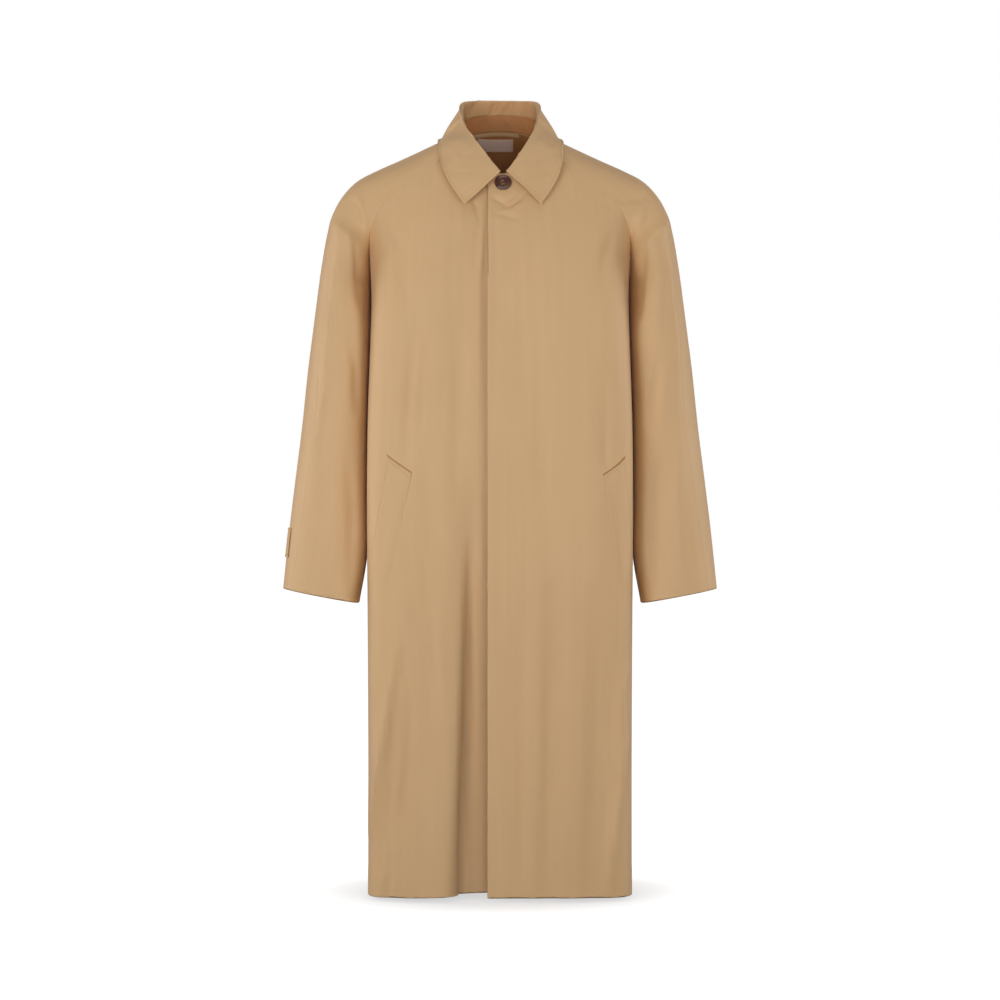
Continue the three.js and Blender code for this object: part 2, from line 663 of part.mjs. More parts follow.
const stretch = (from, to, count) => steps(count).slice(1).map((k) => mix(from, to, k));
const halfStations = [
  0,
  ...stretch(0, NECK_SHARES.backSeam, COLLAR_COLUMNS.back),
  ...stretch(NECK_SHARES.backSeam, NECK_SHARES.crown, COLLAR_COLUMNS.backShoulder),
  ...stretch(NECK_SHARES.crown, NECK_SHARES.frontSeam, COLLAR_COLUMNS.frontShoulder),
  ...stretch(NECK_SHARES.frontSeam, 1, COLLAR_COLUMNS.front),
];
const collarStations = [...halfStations.slice(1).map((at) => -at).reverse(), ...halfStations];

function standTop(at) {
  return necklineAt(at).lerp(collarAt("roll", at), look(COLLAR, "stand", Math.abs(at), "at"));
}

function standGrid() {
  return steps(2).map((v) =>
    collarStations.map((at) => {
      const base = necklineAt(at);
      const top = standTop(at);
      const rise = top.clone().sub(base).normalize();
      base.addScaledVector(rise, SEAM_GAP * 3);
      return base.lerp(top, v);
    }),
  );
}

// One section of the fall: up from the stand, round the fold and down to the edge. It starts inside
// the stand's top edge, further off it where the leaves come together.
const START_GAPS = [2, 7];
const LEAVES_CLOSE = [0.76, 0.92];
function fallSection(at) {
  const stand = standTop(at);
  const roll = collarAt("roll", at);
  const edge = collarAt("edge", at);
  const bulge = look(COLLAR, "bulge", Math.abs(at), "at");
  const risen = roll.clone().sub(stand).normalize();
  const fallen = edge.clone().sub(roll).normalize();
  const apex = risen.clone().sub(fallen).normalize();
  const across = edge.clone().sub(stand);
  across.addScaledVector(apex, -across.dot(apex)).normalize();
  const over = roll.clone().addScaledVector(across, FOLD_WIDTH);
  const top = roll.clone().addScaledVector(across, FOLD_WIDTH / 2).addScaledVector(apex, FOLD_HEIGHT);
  const middle = over.clone().lerp(edge, 0.5);
  const outward = across.clone().addScaledVector(fallen, -across.dot(fallen)).normalize();
  middle.addScaledVector(outward, bulge);
  const along = standTop(at + 0.01).sub(standTop(at - 0.01));
  const standOut = risen.clone().cross(along).normalize();
  const gap = SEAM_GAP * mix(...START_GAPS, ease(...LEAVES_CLOSE, Math.abs(at)));
  const start = stand.clone().addScaledVector(standOut, -COLLAR_WALL).addScaledVector(risen, gap);
  return new THREE.CatmullRomCurve3([start, roll, top, over, middle, edge], false, "centripetal");
}

function fallGrid() {
  const sections = collarStations.map(fallSection);
  return FALL_PLACES.map((v) => sections.map((section) => section.getPoint(v)));
}

// Lifts the fall clear of the cloth beneath it, in a few passes because each one moves what is felt
const LAY_PASSES = 3;
function layFall(grid, cloth) {
  const points = grid.slice(FALL_OVER).flat();
  for (let pass = 0; pass < LAY_PASSES; pass++)
    for (const p of points) clearOf(cloth, p, COLLAR_WALL + COLLAR_CLEAR);
  return grid;
}

const stand = sheet("collar_stand", standGrid(), -1, CLOTH, COLLAR_WALL);
const COLLAR_REACH = { x: 130, z: -150 };
const panels = [1, -1].flatMap((side) => [front[side], back[side], sleeveFront[side], sleeveBack[side]]);
const underCollar = (q) => Math.abs(q.x) < COLLAR_REACH.x && q.z > COLLAR_REACH.z;
const beneath = clothOf([...panels, stand], underCollar);
const fall = sheet("collar_fall", layFall(fallGrid(), beneath), 1, CLOTH, COLLAR_WALL);

// A trim piece that lies on a panel: the panel's own points, moved out
function layOn(name, grid, turn, finish, out, wall = TRIM_WALL) {
  const piece = sheet(name, grid, turn, finish, wall);
  const normals = piece.normals;
  piece.grid = grid.map((row, j) =>
    row.map((p, i) => p.clone().addScaledVector(normals[j][i], out + wall)),
  );
  return piece;
}

// Angle reached by going a distance round the front from a starting angle
function goRound(z, angle, distance) {
  const stride = 0.01;
  let gone = 0;
  let here = angle;
  while (gone < distance) {
    const a = onForm(FRONT_FORM, -1, here, z);
    here += stride;
    gone += a.distanceTo(onForm(FRONT_FORM, -1, here, z));
  }
  return here;
}

function welt({ side, name, topX, topZ, endX, endZ, rise }) {
  const grid = steps(WELT_CUTS.rows).map((v) => {
    const z = mix(endZ, topZ, v);
    const innerAngle = angleAt(FRONT_FORM, mix(endX, topX, v), z);
    const outerAngle = goRound(z, innerAngle, WELT_WIDE);
    return steps(WELT_CUTS.columns).map((w) =>
      frontPoint(side, mix(innerAngle, outerAngle, w), z + rise * w),
    );
  });
  return layOn(name, onSide(side, grid), side, CLOTH, LAY_GAP);
}

function tab({ side, name, start, end, high, low }) {
  const grid = steps(TAB_CUTS.rows).map((v) =>
    steps(TAB_CUTS.columns).map((w) => sleevePoint(side, mix(start, end, w), mix(high, low, v))),
  );
  return layOn(name, onSide(side, grid), side, CLOTH, LAY_GAP, WALL);
}

// A button with a rounded rim, flat on a point with a given outward direction. The profile is in
// shares of its radius and its thickness.
const BUTTON_PROFILE = [
  { out: 0, up: 0 },
  { out: 0.86, up: 0 },
  { out: 0.96, up: 0.15 },
  { out: 1, up: 0.45 },
  { out: 0.97, up: 0.8 },
  { out: 0.88, up: 1 },
  { out: 0.72, up: 0.86 },
  { out: 0, up: 0.8 },
];
function button(name, place, outward, { across, thick }) {
  const profile = BUTTON_PROFILE.map(({ out, up }) => new THREE.Vector2((out * across) / 2, up * thick));
  const geometry = new THREE.LatheGeometry(profile, BUTTON_CUTS);
  geometry.deleteAttribute("normal");
  geometry.deleteAttribute("uv");
  const mesh = new THREE.Mesh(mergeVertices(geometry, 1e-3), new THREE.MeshStandardMaterial(HORN));
  mesh.name = name;
  mesh.quaternion.setFromUnitVectors(vec(0, 1, 0), outward);
  mesh.position.copy(place);
  return mesh;
}

// Label and hanger loop, on the inside of the back neck. Each point is [x, z, bow].
const TRIM_INSIDE_WALL = 1;
const LABEL_IN = 2.8;
const LOOP_IN = 3;
function insideBack(name, places, finish, inward) {
  const grid = places.map((row) =>
    row.map(([x, z, bow]) => {
      const p = onForm(BACK_FORM, 1, angleAt(BACK_FORM, x, z), z);
      p.y -= WALL + inward + bow;
      return p;
    }),
  );
  return sheet(name, grid, 1, finish, TRIM_INSIDE_WALL);
}

function labelPlaces() {
  return steps(2).map((v) =>
    steps(6).map((w) => [mix(LABEL.left, LABEL.right, w), mix(LABEL.bottom, LABEL.top, v), 0]),
  );
}

function loopPlaces() {
  return steps(1).map((v) =>
    steps(8).map((w) => {
      const x = mix(LOOP.left, LOOP.right, w);
      const [, seamZ] = neckBack(Math.abs(x) / NECK_BACK_X);
      return [x, seamZ - LOOP.below - LOOP.wide * (1 - v), LOOP.bow * Math.sin(Math.PI * w)];
    }),
  );
}

// Buttons on their seats
function neckButton() {
  const { x, z, across } = NECK_BUTTON;
  const angle = angleAt(FRONT_FORM, x, z);
  const rise = frontPoint(1, angle, z + across / 3).sub(frontPoint(1, angle, z - across / 3));
  const outward = vec(1, 0, 0).cross(rise).normalize();
  const seat = frontPoint(1, angle, z).addScaledVector(outward, LAY_GAP);
  return button("collar_button", seat, outward, NECK_BUTTON);
}

function tabButton({ side, high, low, button: round }) {
  const along = (high + low) / 2;
  const near = 0.02;
  const seat = sleevePoint(side, round, along);
  const across = sleevePoint(side, round + near, along).sub(sleevePoint(side, round - near, along));
  const down = sleevePoint(side, round, along + near / 2).sub(seat);
  const outward = across.cross(down).normalize();
  if (outward.x < 0) outward.negate();
  seat.addScaledVector(outward, LAY_GAP + WALL + LAY_GAP / 2);
  for (const v of [seat, outward]) v.x *= side;
  return button(`tab_button_${side > 0 ? "left" : "right"}`, seat, outward, TAB_BUTTON);
}

// The whole coat
const coat = new THREE.Group();
coat.name = "coat";
const sheets = [
  ...panels,
  stand,
  fall,
  ...WELTS.map(welt),
  ...TABS.map(tab),
  insideBack("label", labelPlaces(), INSIDE_TRIM, LABEL_IN),
  insideBack("hanger_loop", loopPlaces(), CLOTH, LOOP_IN),
];
for (const piece of sheets) coat.add(meshOf(piece.name, wallOf(piece), piece.finish));
coat.add(neckButton(), ...TABS.map(tabButton));

export default coat;
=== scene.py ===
"""Looks of a long raglan coat in beige cotton gabardine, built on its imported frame.

The cloth is made again from the same named sizes as the solids, finer, with its creases,
turned edges and sewing. Sizes are in millimetres until a mesh is made, which is in metres.
"""

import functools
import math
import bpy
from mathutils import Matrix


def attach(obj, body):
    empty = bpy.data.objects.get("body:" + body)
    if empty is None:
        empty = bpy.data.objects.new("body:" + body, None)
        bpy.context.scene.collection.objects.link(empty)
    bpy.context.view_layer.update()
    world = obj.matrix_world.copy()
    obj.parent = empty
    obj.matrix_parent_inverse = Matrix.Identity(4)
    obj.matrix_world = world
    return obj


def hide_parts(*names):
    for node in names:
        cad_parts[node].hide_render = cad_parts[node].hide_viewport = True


bl_info = {
    "name": "Long raglan coat",
    "version": (1, 0, 0),
    "blender": (4, 5, 0),
    "location": "3D View > Sidebar > Coat",
    "description": "Cloth, sewing, buttons and inside trims of a long raglan coat",
    "category": "Object",
}

import bpy
import numpy as np
from bpy.props import FloatProperty, FloatVectorProperty, PointerProperty
from mathutils import Matrix, Quaternion, Vector

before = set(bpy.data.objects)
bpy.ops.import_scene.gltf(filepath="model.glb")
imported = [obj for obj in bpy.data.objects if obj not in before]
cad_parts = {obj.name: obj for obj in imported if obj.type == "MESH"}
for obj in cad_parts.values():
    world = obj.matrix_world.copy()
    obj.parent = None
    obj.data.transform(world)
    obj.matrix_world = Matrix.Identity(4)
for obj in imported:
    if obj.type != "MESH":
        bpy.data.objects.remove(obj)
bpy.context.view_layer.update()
MM = 0.001

# Cloth, as in the part's source
WALL = 1.6
COLLAR_WALL = 1.8
TRIM_WALL = 1.4
SEAM_GAP = 0.3
LAY_GAP = 0.8

# Levels and front edges
HEM_Z = -1122
UNDERARM_Z = -230
NECK_FRONT_Z = -62
NECK_BACK_Z = 21
TOP_EDGE_X = -18.5
UNDERLAP = 28
COLLAR_MEET_X = 4
HEM_LIFT_UNDER = 3


def table(columns, rows):
    """A table as arrays, one for each named column."""
    return {name: np.array(list(values), float) for name, values in zip(columns.split(), zip(*rows))}


# Body, one row for each level: half width, depth from the middle, squareness of the section
FRONT_FORM = table("z half deep square", [
    (-1125, 195, 118, 6.8), (-900, 195, 122, 6.4), (-700, 196, 127, 6.1), (-560, 197, 130, 5.9),
    (-430, 196, 133, 5.7), (-300, 192, 133, 5.3), (-230, 191, 129, 4.6), (-175, 197, 119, 3.5),
    (-135, 212, 110, 2.9), (-108, 224, 101, 2.7), (-87, 222, 94, 2.6), (-68, 202, 87.5, 2.6),
    (-55, 184, 83, 2.5), (-34, 150, 73, 2.5), (-10, 100, 60, 2.4),
])
BACK_FORM = table("z half deep square", [
    (-1125, 195, 120, 5), (-900, 195, 121, 4.6), (-700, 196, 121, 4.1), (-560, 197, 122, 3.8),
    (-430, 196, 125, 3.6), (-300, 192, 131, 3.4), (-230, 191, 133, 3.2), (-190, 194, 133, 3.1),
    (-150, 200, 130, 2.9), (-115, 195, 124, 2.7), (-80, 175, 117, 2.6), (-45, 144, 107, 2.5),
    (-15, 106, 95, 2.4), (8, 74, 84, 2.3), (21, 62, 78, 2.3),
])

# Raglan seams from the underarm up to the neck: degrees round the section and level of the front
# and back seam, the crown point over the shoulder, and how far the sleeve runs straight on
# from each seam (reach) and from the crown (over)
RAGLAN = table("frontTurn frontZ backTurn backZ crown reach over", [
    (90, -230, 90, -230, (269, 0, -205), 113, 113),
    (67, -178, 67, -192, (260, 0, -152), 72, 107),
    (54, -137, 54, -155, (250, 0, -117), 50, 93),
    (45, -108, 47, -122, (236, 1, -89), 46, 75),
    (39, -87, 44.5, -90, (214, 2, -65), 44, 58),
    (35, -70, 43.4, -60, (184, 3, -48.5), 40, 47),
    (32.4, -55, 43.4, -33, (150, 4, -33), 34, 39),
    (31.4, -37, 44.2, -11, (114, 5, -16), 27, 30),
    (33, -14, 45.3, 8, (76, 5, 2), 19, 20),
])
NECK_BACK_X = 55
NECK_BACK_SIDE_Z = 8
NECK_BACK_BEND = 2.4
NECK_CURVE = [(8, NECK_FRONT_Z), (31, -54), (50, -35), (61, -14)]
NECK_LEVEL_SHARE = 0.18
FOLDS_BACK_BELOW = (0.02, 0.42)

# Sleeve below the underarm, one row for each section from the underarm to the cuff
SLEEVE = table("inner outer front back", [
    ((192.4, 0, -230), (269, 0, -205), 85, 86),
    ((193.4, 2, -300), (278, 2, -270), 80, 84),
    ((196.6, 5, -380), (288.5, 5, -350), 76, 80),
    ((198.3, 6, -460), (297, 6, -430), 72, 76),
    ((198.6, 2, -540), (307, 2, -512), 67, 70),
    ((198.4, -6, -620), (316.5, -6, -595), 61, 62),
    ((210, -16, -694.5), (324, -16, -673.5), 56, 56),
])
YOKE_SHARE = 0.4
SLEEVE_LEAN = 0.3
# Share of the sleeve's front half at which the overarm seam lies, from the neck to the cuff
OVERARM = table("along share", [
    (0, 1), (0.24, 1), (0.36, 0.88), (0.5, 0.76), (0.64, 0.67), (0.76, 0.69), (1, 0.76),
])

# Collar, one row for each station from the middle of the back to the front edge
COLLAR = table("at stand roll edge bulge", [
    (0, 0.55, (0, 77.5, 66.8), (0, 100, 8), 4),
    (0.2, 0.55, (27, 73, 65.8), (38, 97, 7), 4),
    (0.38, 0.55, (49.5, 56, 61.5), (74, 82, 3), 5),
    (0.52, 0.56, (55, 32, 49.5), (90, 46, -1), 4),
    (0.64, 0.6, (54.5, 0, 29), (91, 6, -4), 4),
    (0.75, 0.66, (50, -27, 6.5), (91.5, -37, -17), 5),
    (0.84, 0.66, (38, -55, -15.5), (90, -82, -44), 5),
    (0.92, 0.48, (21, -79, -41), (77, -96, -78), 4),
    (1, 0.45, (4.6, -94, -60.5), (56, -106, -110), 3),
])
NECK_SHARES = {"back_seam": 0.38, "crown": 0.64, "front_seam": 0.79}
COLLAR_CLEAR = 2.9
COLLAR_FEEL = 9
COLLAR_REACH = (130, -150)
LEAF_STARTS = 0.6
FOLD_WIDTH = 5
FOLD_HEIGHT = 2.4
FALL_OVER = 0.34
START_GAPS = (2, 7)
LEAVES_CLOSE = (0.76, 0.92)
LAY_PASSES = 3
TUCKED_IN = 4.5
TUCK_STARTS = (0.72, 0.93)
STAND_REACH = 0.93
FALL_WALL = 1.3

# Large soft folds of the panels: side, x and z of both ends, how wide and how deep
FOLD_SWELL = 0.7
FOLDS_FULL_TURN = 0.95
FRONT_FOLDS = [
    (-1, 103, -430, 100, -1000, 16, 5), (-1, 150, -760, 158, -1180, 16, 7),
    (-1, 121, -240, 138, -500, 17, 4), (1, 30, -255, 31, -440, 16, 3),
    (1, 150, -650, 132, -1190, 18, 7), (1, 84, -600, 70, -1180, 20, 5),
    (1, 152, -330, 158, -520, 17, 4),
]
BACK_FOLDS = [
    (-1, 70, -140, 92, -1180, 24, 8), (-1, 150, -420, 146, -1180, 20, 7),
    (1, 84, -180, 76, -1190, 24, 8), (1, 152, -300, 150, -1000, 20, 6),
]
# Sleeve folds: side, place round the section, from and to along the sleeve, width and depth
SLEEVE_FOLDS = [
    (-1, 0.42, 0.3, 0.6, 0.1, 4), (-1, 0.36, 0.55, 1.02, 0.12, 5), (-1, 1.45, 0.3, 0.95, 0.12, 6),
    (1, 0.4, 0.32, 0.62, 0.1, 4), (1, 0.46, 0.66, 0.98, 0.12, 4), (1, 1.5, 0.34, 1.02, 0.12, 6),
]
# The under front falls back behind the top front
UNDER_REST = table("z back", [(-1121, 5.5), (-560, 6), (-350, 7), (-150, 6.5), (-70, 3.6)])
UNDER_FALL = table("z back", [(-1121, 50), (-850, 34), (-640, 14), (-460, 0), (-70, 0)])
UNDER_REST_ENDS = (30, 105)
UNDER_FALL_ENDS = (14, 88)
UNDER_SEAM_CLEAR = 8
UNDER_FORWARD = 0.3
UNDER_FORWARD_ENDS = (24, 46)

# Pocket welts: side, name, x and z where the inner long edge starts and ends, slant of the ends
WELT_WIDE = 38
WELT_LIFT = (0.35, 1.7)
WELT_LIFTS_FROM = 0.75
MOUTH_WIDE = 1.3
MOUTH_OVER = 1.2
WELTS = [
    (-1, "pocket_welt_right", 128, -503, 163, -664, 26),
    (1, "pocket_welt_left", 150, -506, 177, -668, 27),
]
# Sleeve tabs: side, name, rounds of both ends, levels of both edges, round of the button
TABS = [
    (-1, "sleeve_tab_right", 1.72, 0.87, 0.885, 0.94, 1.14),
    (1, "sleeve_tab_left", 1.9, 1.1, 0.885, 0.94, 1.24),
]

TAB_LIFT = 1.9
TAB_SEAT = 0.05

# Inside the back neck
LABEL = {"left": -34, "right": 20, "top": 9.5, "bottom": -8.5, "inward": 2.8}
LOOP = {"left": -40, "right": 29, "below": 2.2, "wide": 5, "bow": 2.5, "inward": 3}
TRIM_INSIDE_WALL = 1

# Creases, listed one by one: piece, width, depth (a ridge where it is below zero), and its line as x and z
CREASES = [
    # The under skirt's sharp fold beside the top front's edge, and the roll next to it
    ("front_right", 5.5, 15.12, [(-40, -590), (-43, -740), (-45, -830), (-50, -977), (-55, -1230)]),
    ("front_right", 8, -4.62, [(-58, -600), (-61, -752), (-65, -900), (-74, -1150)]),
    # The top front's edge stands a little off the under front over the chest
    ("front_left", 9, -3.36, [(-17, -100), (-18, -230), (-18, -400)]),
    ("front_right", 4, 5.46, [(-20, -100), (-22, -240), (-22, -420), (-21, -600)]),
    # Soft lines from the armhole and the chest down to the pockets
    ("front_right", 8, 4.2, [(-113, -250), (-128, -396), (-134, -440), (-132, -494)]),
    ("front_right", 7, -3.36, [(-128, -255), (-146, -400), (-150, -470)]),
    ("front_left", 4.5, 5.04, [(143, -398), (154, -500)]),
    ("front_left", 7, -2.94, [(128, -330), (139, -420), (146, -490)]),
    ("front_left", 10, 3.36, [(60, -240), (58, -420), (66, -560)]),
    ("front_right", 10, 2.94, [(-62, -250), (-58, -400), (-66, -560)]),
    # Uneven long folds of the skirt
    ("front_right", 6, -7.56, [(-146, -735), (-166, -861), (-183, -973), (-188, -1040)]),
    ("front_right", 5, -5.88, [(-153, -990), (-172, -1130)]),
    ("front_right", 10, 4.2, [(-132, -700), (-146, -860), (-160, -1000), (-166, -1150)]),
    ("front_left", 6, -7.14, [(183, -780), (177, -836), (182, -895), (174, -986), (160, -1110)]),
    ("front_left", 6, -3.36, [(158, -890), (170, -950)]),
    ("front_left", 9, 3.78, [(168, -700), (164, -850), (158, -980), (146, -1140)]),
    ("front_left", 12, 3.78, [(28, -700), (36, -900), (30, -1150)]),
    ("front_left", 14, -3.36, [(58, -640), (52, -880), (50, -1150)]),
    ("front_left", 6, -1.68, [(76, -1060), (90, -1078)]),
    # Drag lines under the collar button
    ("front_left", 3.4, 4.2, [(-14, -98), (6, -107), (34, -100)]),
    ("front_left", 3.4, 5.04, [(-8, -116), (14, -110), (38, -88)]),
    ("front_left", 4, 2.73, [(-12, -122), (10, -126), (30, -132)]),
    ("front_right", 3.5, 2.94, [(-44, -98), (-34, -112), (-30, -134)]),
    ("front_right", 5, 2.52, [(-26, -120), (-34, -160), (-38, -210)]),
    # Crumples of the stand at the back of the neck
    ("collar_stand", 3.6, 3.15, [(-4, 50), (20, 30)]),
    ("collar_stand", 3.6, 3.15, [(18, 50), (42, 32)]),
    ("collar_stand", 4, -2.52, [(-34, 48), (-14, 30)]),
    ("collar_stand", 4, 2.52, [(-46, 46), (-30, 30)]),
    # Armhole
    ("front_right", 6, 4.2, [(-168, -150), (-150, -190), (-140, -250)]),
    ("front_left", 6, 4.2, [(166, -150), (150, -196), (142, -262)]),
    ("front_left", 5, 2.94, [(140, -112), (166, -104), (196, -100)]),
    ("sleeve_right_front", 5, -5.04, [(-216, -84), (-200, -122), (-194, -160)]),
    ("sleeve_right_front", 3.5, 3.36, [(-216, -98), (-205, -119)]),
    ("sleeve_right_front", 7, 5.46, [(-214, -150), (-208, -200), (-206, -262)]),
    ("sleeve_right_front", 7, 5.04, [(-224, -290), (-212, -350), (-210, -420)]),
    ("sleeve_right_front", 5, -5.46, [
        (-234, -130), (-251, -265), (-257, -380), (-287, -483), (-298, -571),
    ]),
    ("sleeve_right_front", 9, 4.62, [(-272, -420), (-262, -500), (-260, -600)]),
    ("sleeve_right_front", 7, 3.78, [(-226, -470), (-218, -560), (-222, -680)]),
    ("sleeve_left_front", 4.5, 4.62, [(172, -103), (211, -98), (226, -86)]),
    ("sleeve_left_front", 5, -4.62, [(214, -108), (203, -140), (197, -170)]),
    ("sleeve_left_front", 7, 5.46, [(214, -160), (206, -220), (204, -280)]),
    ("sleeve_left_front", 7, 5.04, [(236, -330), (226, -400), (224, -450)]),
    ("sleeve_left_front", 5, -5.46, [(241, -124), (254, -247), (260, -292), (272, -414), (292, -510)]),
    ("sleeve_left_front", 8, 5.04, [(240, -470), (228, -540), (222, -680)]),
    ("sleeve_left_front", 9, -3.78, [(266, -440), (262, -560), (268, -660)]),
    # The back and the back of the sleeves hang with like folds
    ("back_right", 9, 5.04, [(-40, -150), (-52, -400), (-60, -640)]),
    ("back_right", 8, 4.62, [(-150, -200), (-128, -330), (-120, -470)]),
    ("back_right", 12, -5.46, [(-110, -560), (-120, -800), (-118, -1150)]),
    ("back_right", 9, 6.3, [(-32, -700), (-40, -900), (-36, -1150)]),
    ("back_right", 8, -4.2, [(-168, -640), (-172, -860), (-166, -1150)]),
    ("back_left", 10, 4.62, [(36, -180), (44, -380), (40, -600)]),
    ("back_left", 8, 5.04, [(152, -210), (132, -340), (126, -480)]),
    ("back_left", 12, -5.46, [(112, -600), (114, -850), (110, -1150)]),
    ("back_left", 9, 6.3, [(44, -660), (36, -880), (42, -1150)]),
    ("back_left", 8, -4.2, [(170, -560), (176, -820), (168, -1150)]),
    ("sleeve_right_back", 8, 6.3, [(-216, -170), (-214, -260), (-226, -360)]),
    ("sleeve_right_back", 8, 5.46, [(-236, -380), (-248, -470), (-240, -560)]),
    ("sleeve_right_back", 9, -5.04, [(-250, -200), (-262, -330), (-268, -450)]),
    ("sleeve_right_back", 7, 4.62, [(-280, -410), (-272, -500), (-276, -570)]),
    ("sleeve_left_back", 8, 6.3, [(218, -180), (214, -270), (224, -350)]),
    ("sleeve_left_back", 8, 5.46, [(238, -400), (250, -480), (242, -560)]),
    ("sleeve_left_back", 9, -5.04, [(252, -210), (260, -340), (270, -470)]),
    ("sleeve_left_back", 7, 4.62, [(282, -430), (274, -510), (280, -570)]),
]
CREASE_SEAM_CLEAR = 14

# Creases and painted shade on the inside band of the fall at the back of the neck
# Share of the darker colour painted on the band as shade
BAND_PAINTED_SHADE = 0.45
BAND_ENDS = (0.18, 0.3)
LEAF_FLAT = 0.5
BAND_CREASES = [
    (4.5, 3.6, [(-33, 72), (-45, 46)]), (4.5, 3.8, [(-1, 72), (-16, 46)]),
    (4.5, 3.8, [(23, 72), (7, 46)]), (4.5, 3.6, [(42, 71), (26, 46)]), (4.5, -2, [(10, 71), (-4, 50)]),
]

# Creases on the collar's leaves: width, depth, and its line as x and z
LEAF_CREASES = [
    (3, 1.9, [(-74, -60), (-52, -62), (-32, -60)]),
    (3, 1.9, [(68, -6), (80, -20)]),
    (6, -1.6, [(-74, -20), (-58, -44)]),
    (5, -1.4, [(62, -36), (48, -60)]),
    (7, 0.9, [(-66, -78), (-52, -92)]),
    (7, 0.9, [(70, -66), (58, -92)]),
]

# Edges and sewing: rolled edges, the groove of a row of stitches, rounded rims, lap at the seams
EDGE_BEAD = 0.35
STITCH_GROOVE = 0.35
HEM_RISE = 0.35
HEM_FADE = 3
SEAM_ROUND = 0.45
SEAM_LAP = 0.12
ROUND_STEPS = (math.pi / 4, math.pi / 2, 3 * math.pi / 4)
# One stitch: places along it, its rise as a share of the thread, and the thread's fullness
STITCH_SHAPE = [(0, -0.5, 0.35), (0.12, 0.15, 0.95), (0.5, 0.35, 1), (0.88, 0.15, 0.95), (1, -0.5, 0.35)]

# A wave texture's scale for bands 1 m apart
WAVE_SCALE = 2 * math.pi / 20
# Twill climbs at this angle across the warp
TWILL_TURN = math.radians(63)

# Buttons: half section as shares of half the width and of the thickness
BUTTON_PROFILE = [
    (0.001, 0), (0.82, 0), (0.9, 0.05), (0.97, 0.2), (1, 0.45), (0.985, 0.7), (0.94, 0.92), (0.88, 1),
    (0.82, 0.98), (0.76, 0.86), (0.7, 0.72), (0.6, 0.66), (0.3, 0.64), (0.001, 0.63),
]
BUTTON_SEGMENTS = 72
HOLE_SPREAD = 0.13
HOLE_ACROSS = 0.085
THREAD_ROUND = 0.2
THREAD_SPREAD = (-0.28, 0, 0.28)

# Studio
FLOOR_HALF = 20000
CAMERA_PLACE = (0, -4.0, -0.5415)
CAMERA_LENS = 96
CAMERA_SENSOR = 36
# Lamps: name, place, aim, width and height in metres, the setting that holds its power, its share
LAMPS = [
    ("front left", (-1.15, -1.75, -0.3), (0, 0, -0.3), (1.0, 0.7), "front_light", 1.27),
    ("front right", (1.15, -1.75, -0.3), (0, 0, -0.3), (1.0, 0.7), "front_light", 0.73),
    ("fill", (0.1, -3.2, -0.3), (0, 0, -0.3), (1.2, 1.0), "fill_light", 1),
    ("back", (0, 2.6, 0), (0, 0, -0.5), (1.2, 1.2), "back_light", 1),
    ("left", (-2.2, 0.4, -0.2), (0, 0, -0.4), (0.8, 2.0), "side_light", 1.1),
    ("right", (2.2, 0.4, -0.2), (0, 0, -0.4), (0.8, 2.0), "side_light", 1.1),
    ("top", (0, -0.25, 1.9), (0, -0.1, -0.6), (1.8, 1.2), "top_light", 1),
]


# Helpers
def mix(a, b, t):
    """The value a share t of the way from a to b."""
    return a + (b - a) * t


def ease(a, b, t):
    """A smooth rise from 0 at a to 1 at b."""
    k = np.clip((t - a) / (b - a), 0, 1)
    return k * k * (3 - 2 * k)


def unit(v):
    """Vectors scaled to length 1."""
    return v / np.maximum(np.linalg.norm(v, axis=-1, keepdims=True), 1e-12)


def stack(x, y, z):
    """Points from arrays of coordinates."""
    return np.stack(np.broadcast_arrays(x, y, z), axis=-1).astype(float)


def look(rows, column, place, key="z"):
    """Smooth value of a table's column at places in its key column."""
    at, value = rows[key], rows[column]
    if at[0] > at[-1]:
        at, value = at[::-1], value[::-1]
    last = len(at) - 1
    order = np.arange(last + 1)
    low, high = np.maximum(order - 1, 0), np.minimum(order + 1, last)
    over = (at[high] - at[low]).reshape(-1, *[1] * (value.ndim - 1))
    slope = (value[high] - value[low]) / over
    place = np.asarray(place, float)
    i = np.clip(np.searchsorted(at, place, side="right") - 1, 0, last - 1)
    span = at[i + 1] - at[i]
    t = np.clip((place - at[i]) / span, 0, 1)
    if value.ndim > 1:
        t, span = t[..., None], span[..., None]
    t2, t3 = t * t, t * t * t
    return (
        (2 * t3 - 3 * t2 + 1) * value[i]
        + (t3 - 2 * t2 + t) * span * slope[i]
        + (3 * t2 - 2 * t3) * value[i + 1]
        + (t3 - t2) * span * slope[i + 1]
    )


def look_even(rows, column, t):
    """The same for a table whose rows are evenly spaced from 0 to 1."""
    numbered = {column: rows[column], "share": np.linspace(0, 1, len(rows[column]))}
    return look(numbered, column, t, "share")


def spaced(count, length, near=(0.9, 2.6), ends=(True, True)):
    """Shares along a length, evenly spaced, with a few more close to its ends for a crisp edge."""
    even = list(np.linspace(0, 1, count + 1))
    close = [d / length for d in near]
    start = close if ends[0] else []
    end = [1 - d for d in close] if ends[1] else []
    return np.array(sorted(even + start + end))


# The body's form
def on_form(form, facing, angle, z):
    """Body section: angle 0 at the middle of the front or back, a quarter turn at the side."""
    power = look(form, "square", z)
    s, c = np.sin(angle), np.maximum(0, np.cos(angle))
    size = (np.abs(s) ** power + c**power) ** (1 / power)
    return stack(look(form, "half", z) * s / size, facing * look(form, "deep", z) * c / size, z)


def angle_at(form, x, z):
    """The angle at which the section passes a given x."""
    power = look(form, "square", z)
    share = np.minimum(0.99999, np.abs(x) / look(form, "half", z))
    return np.sign(x) * np.arctan2(share, (1 - share**power) ** (1 / power))


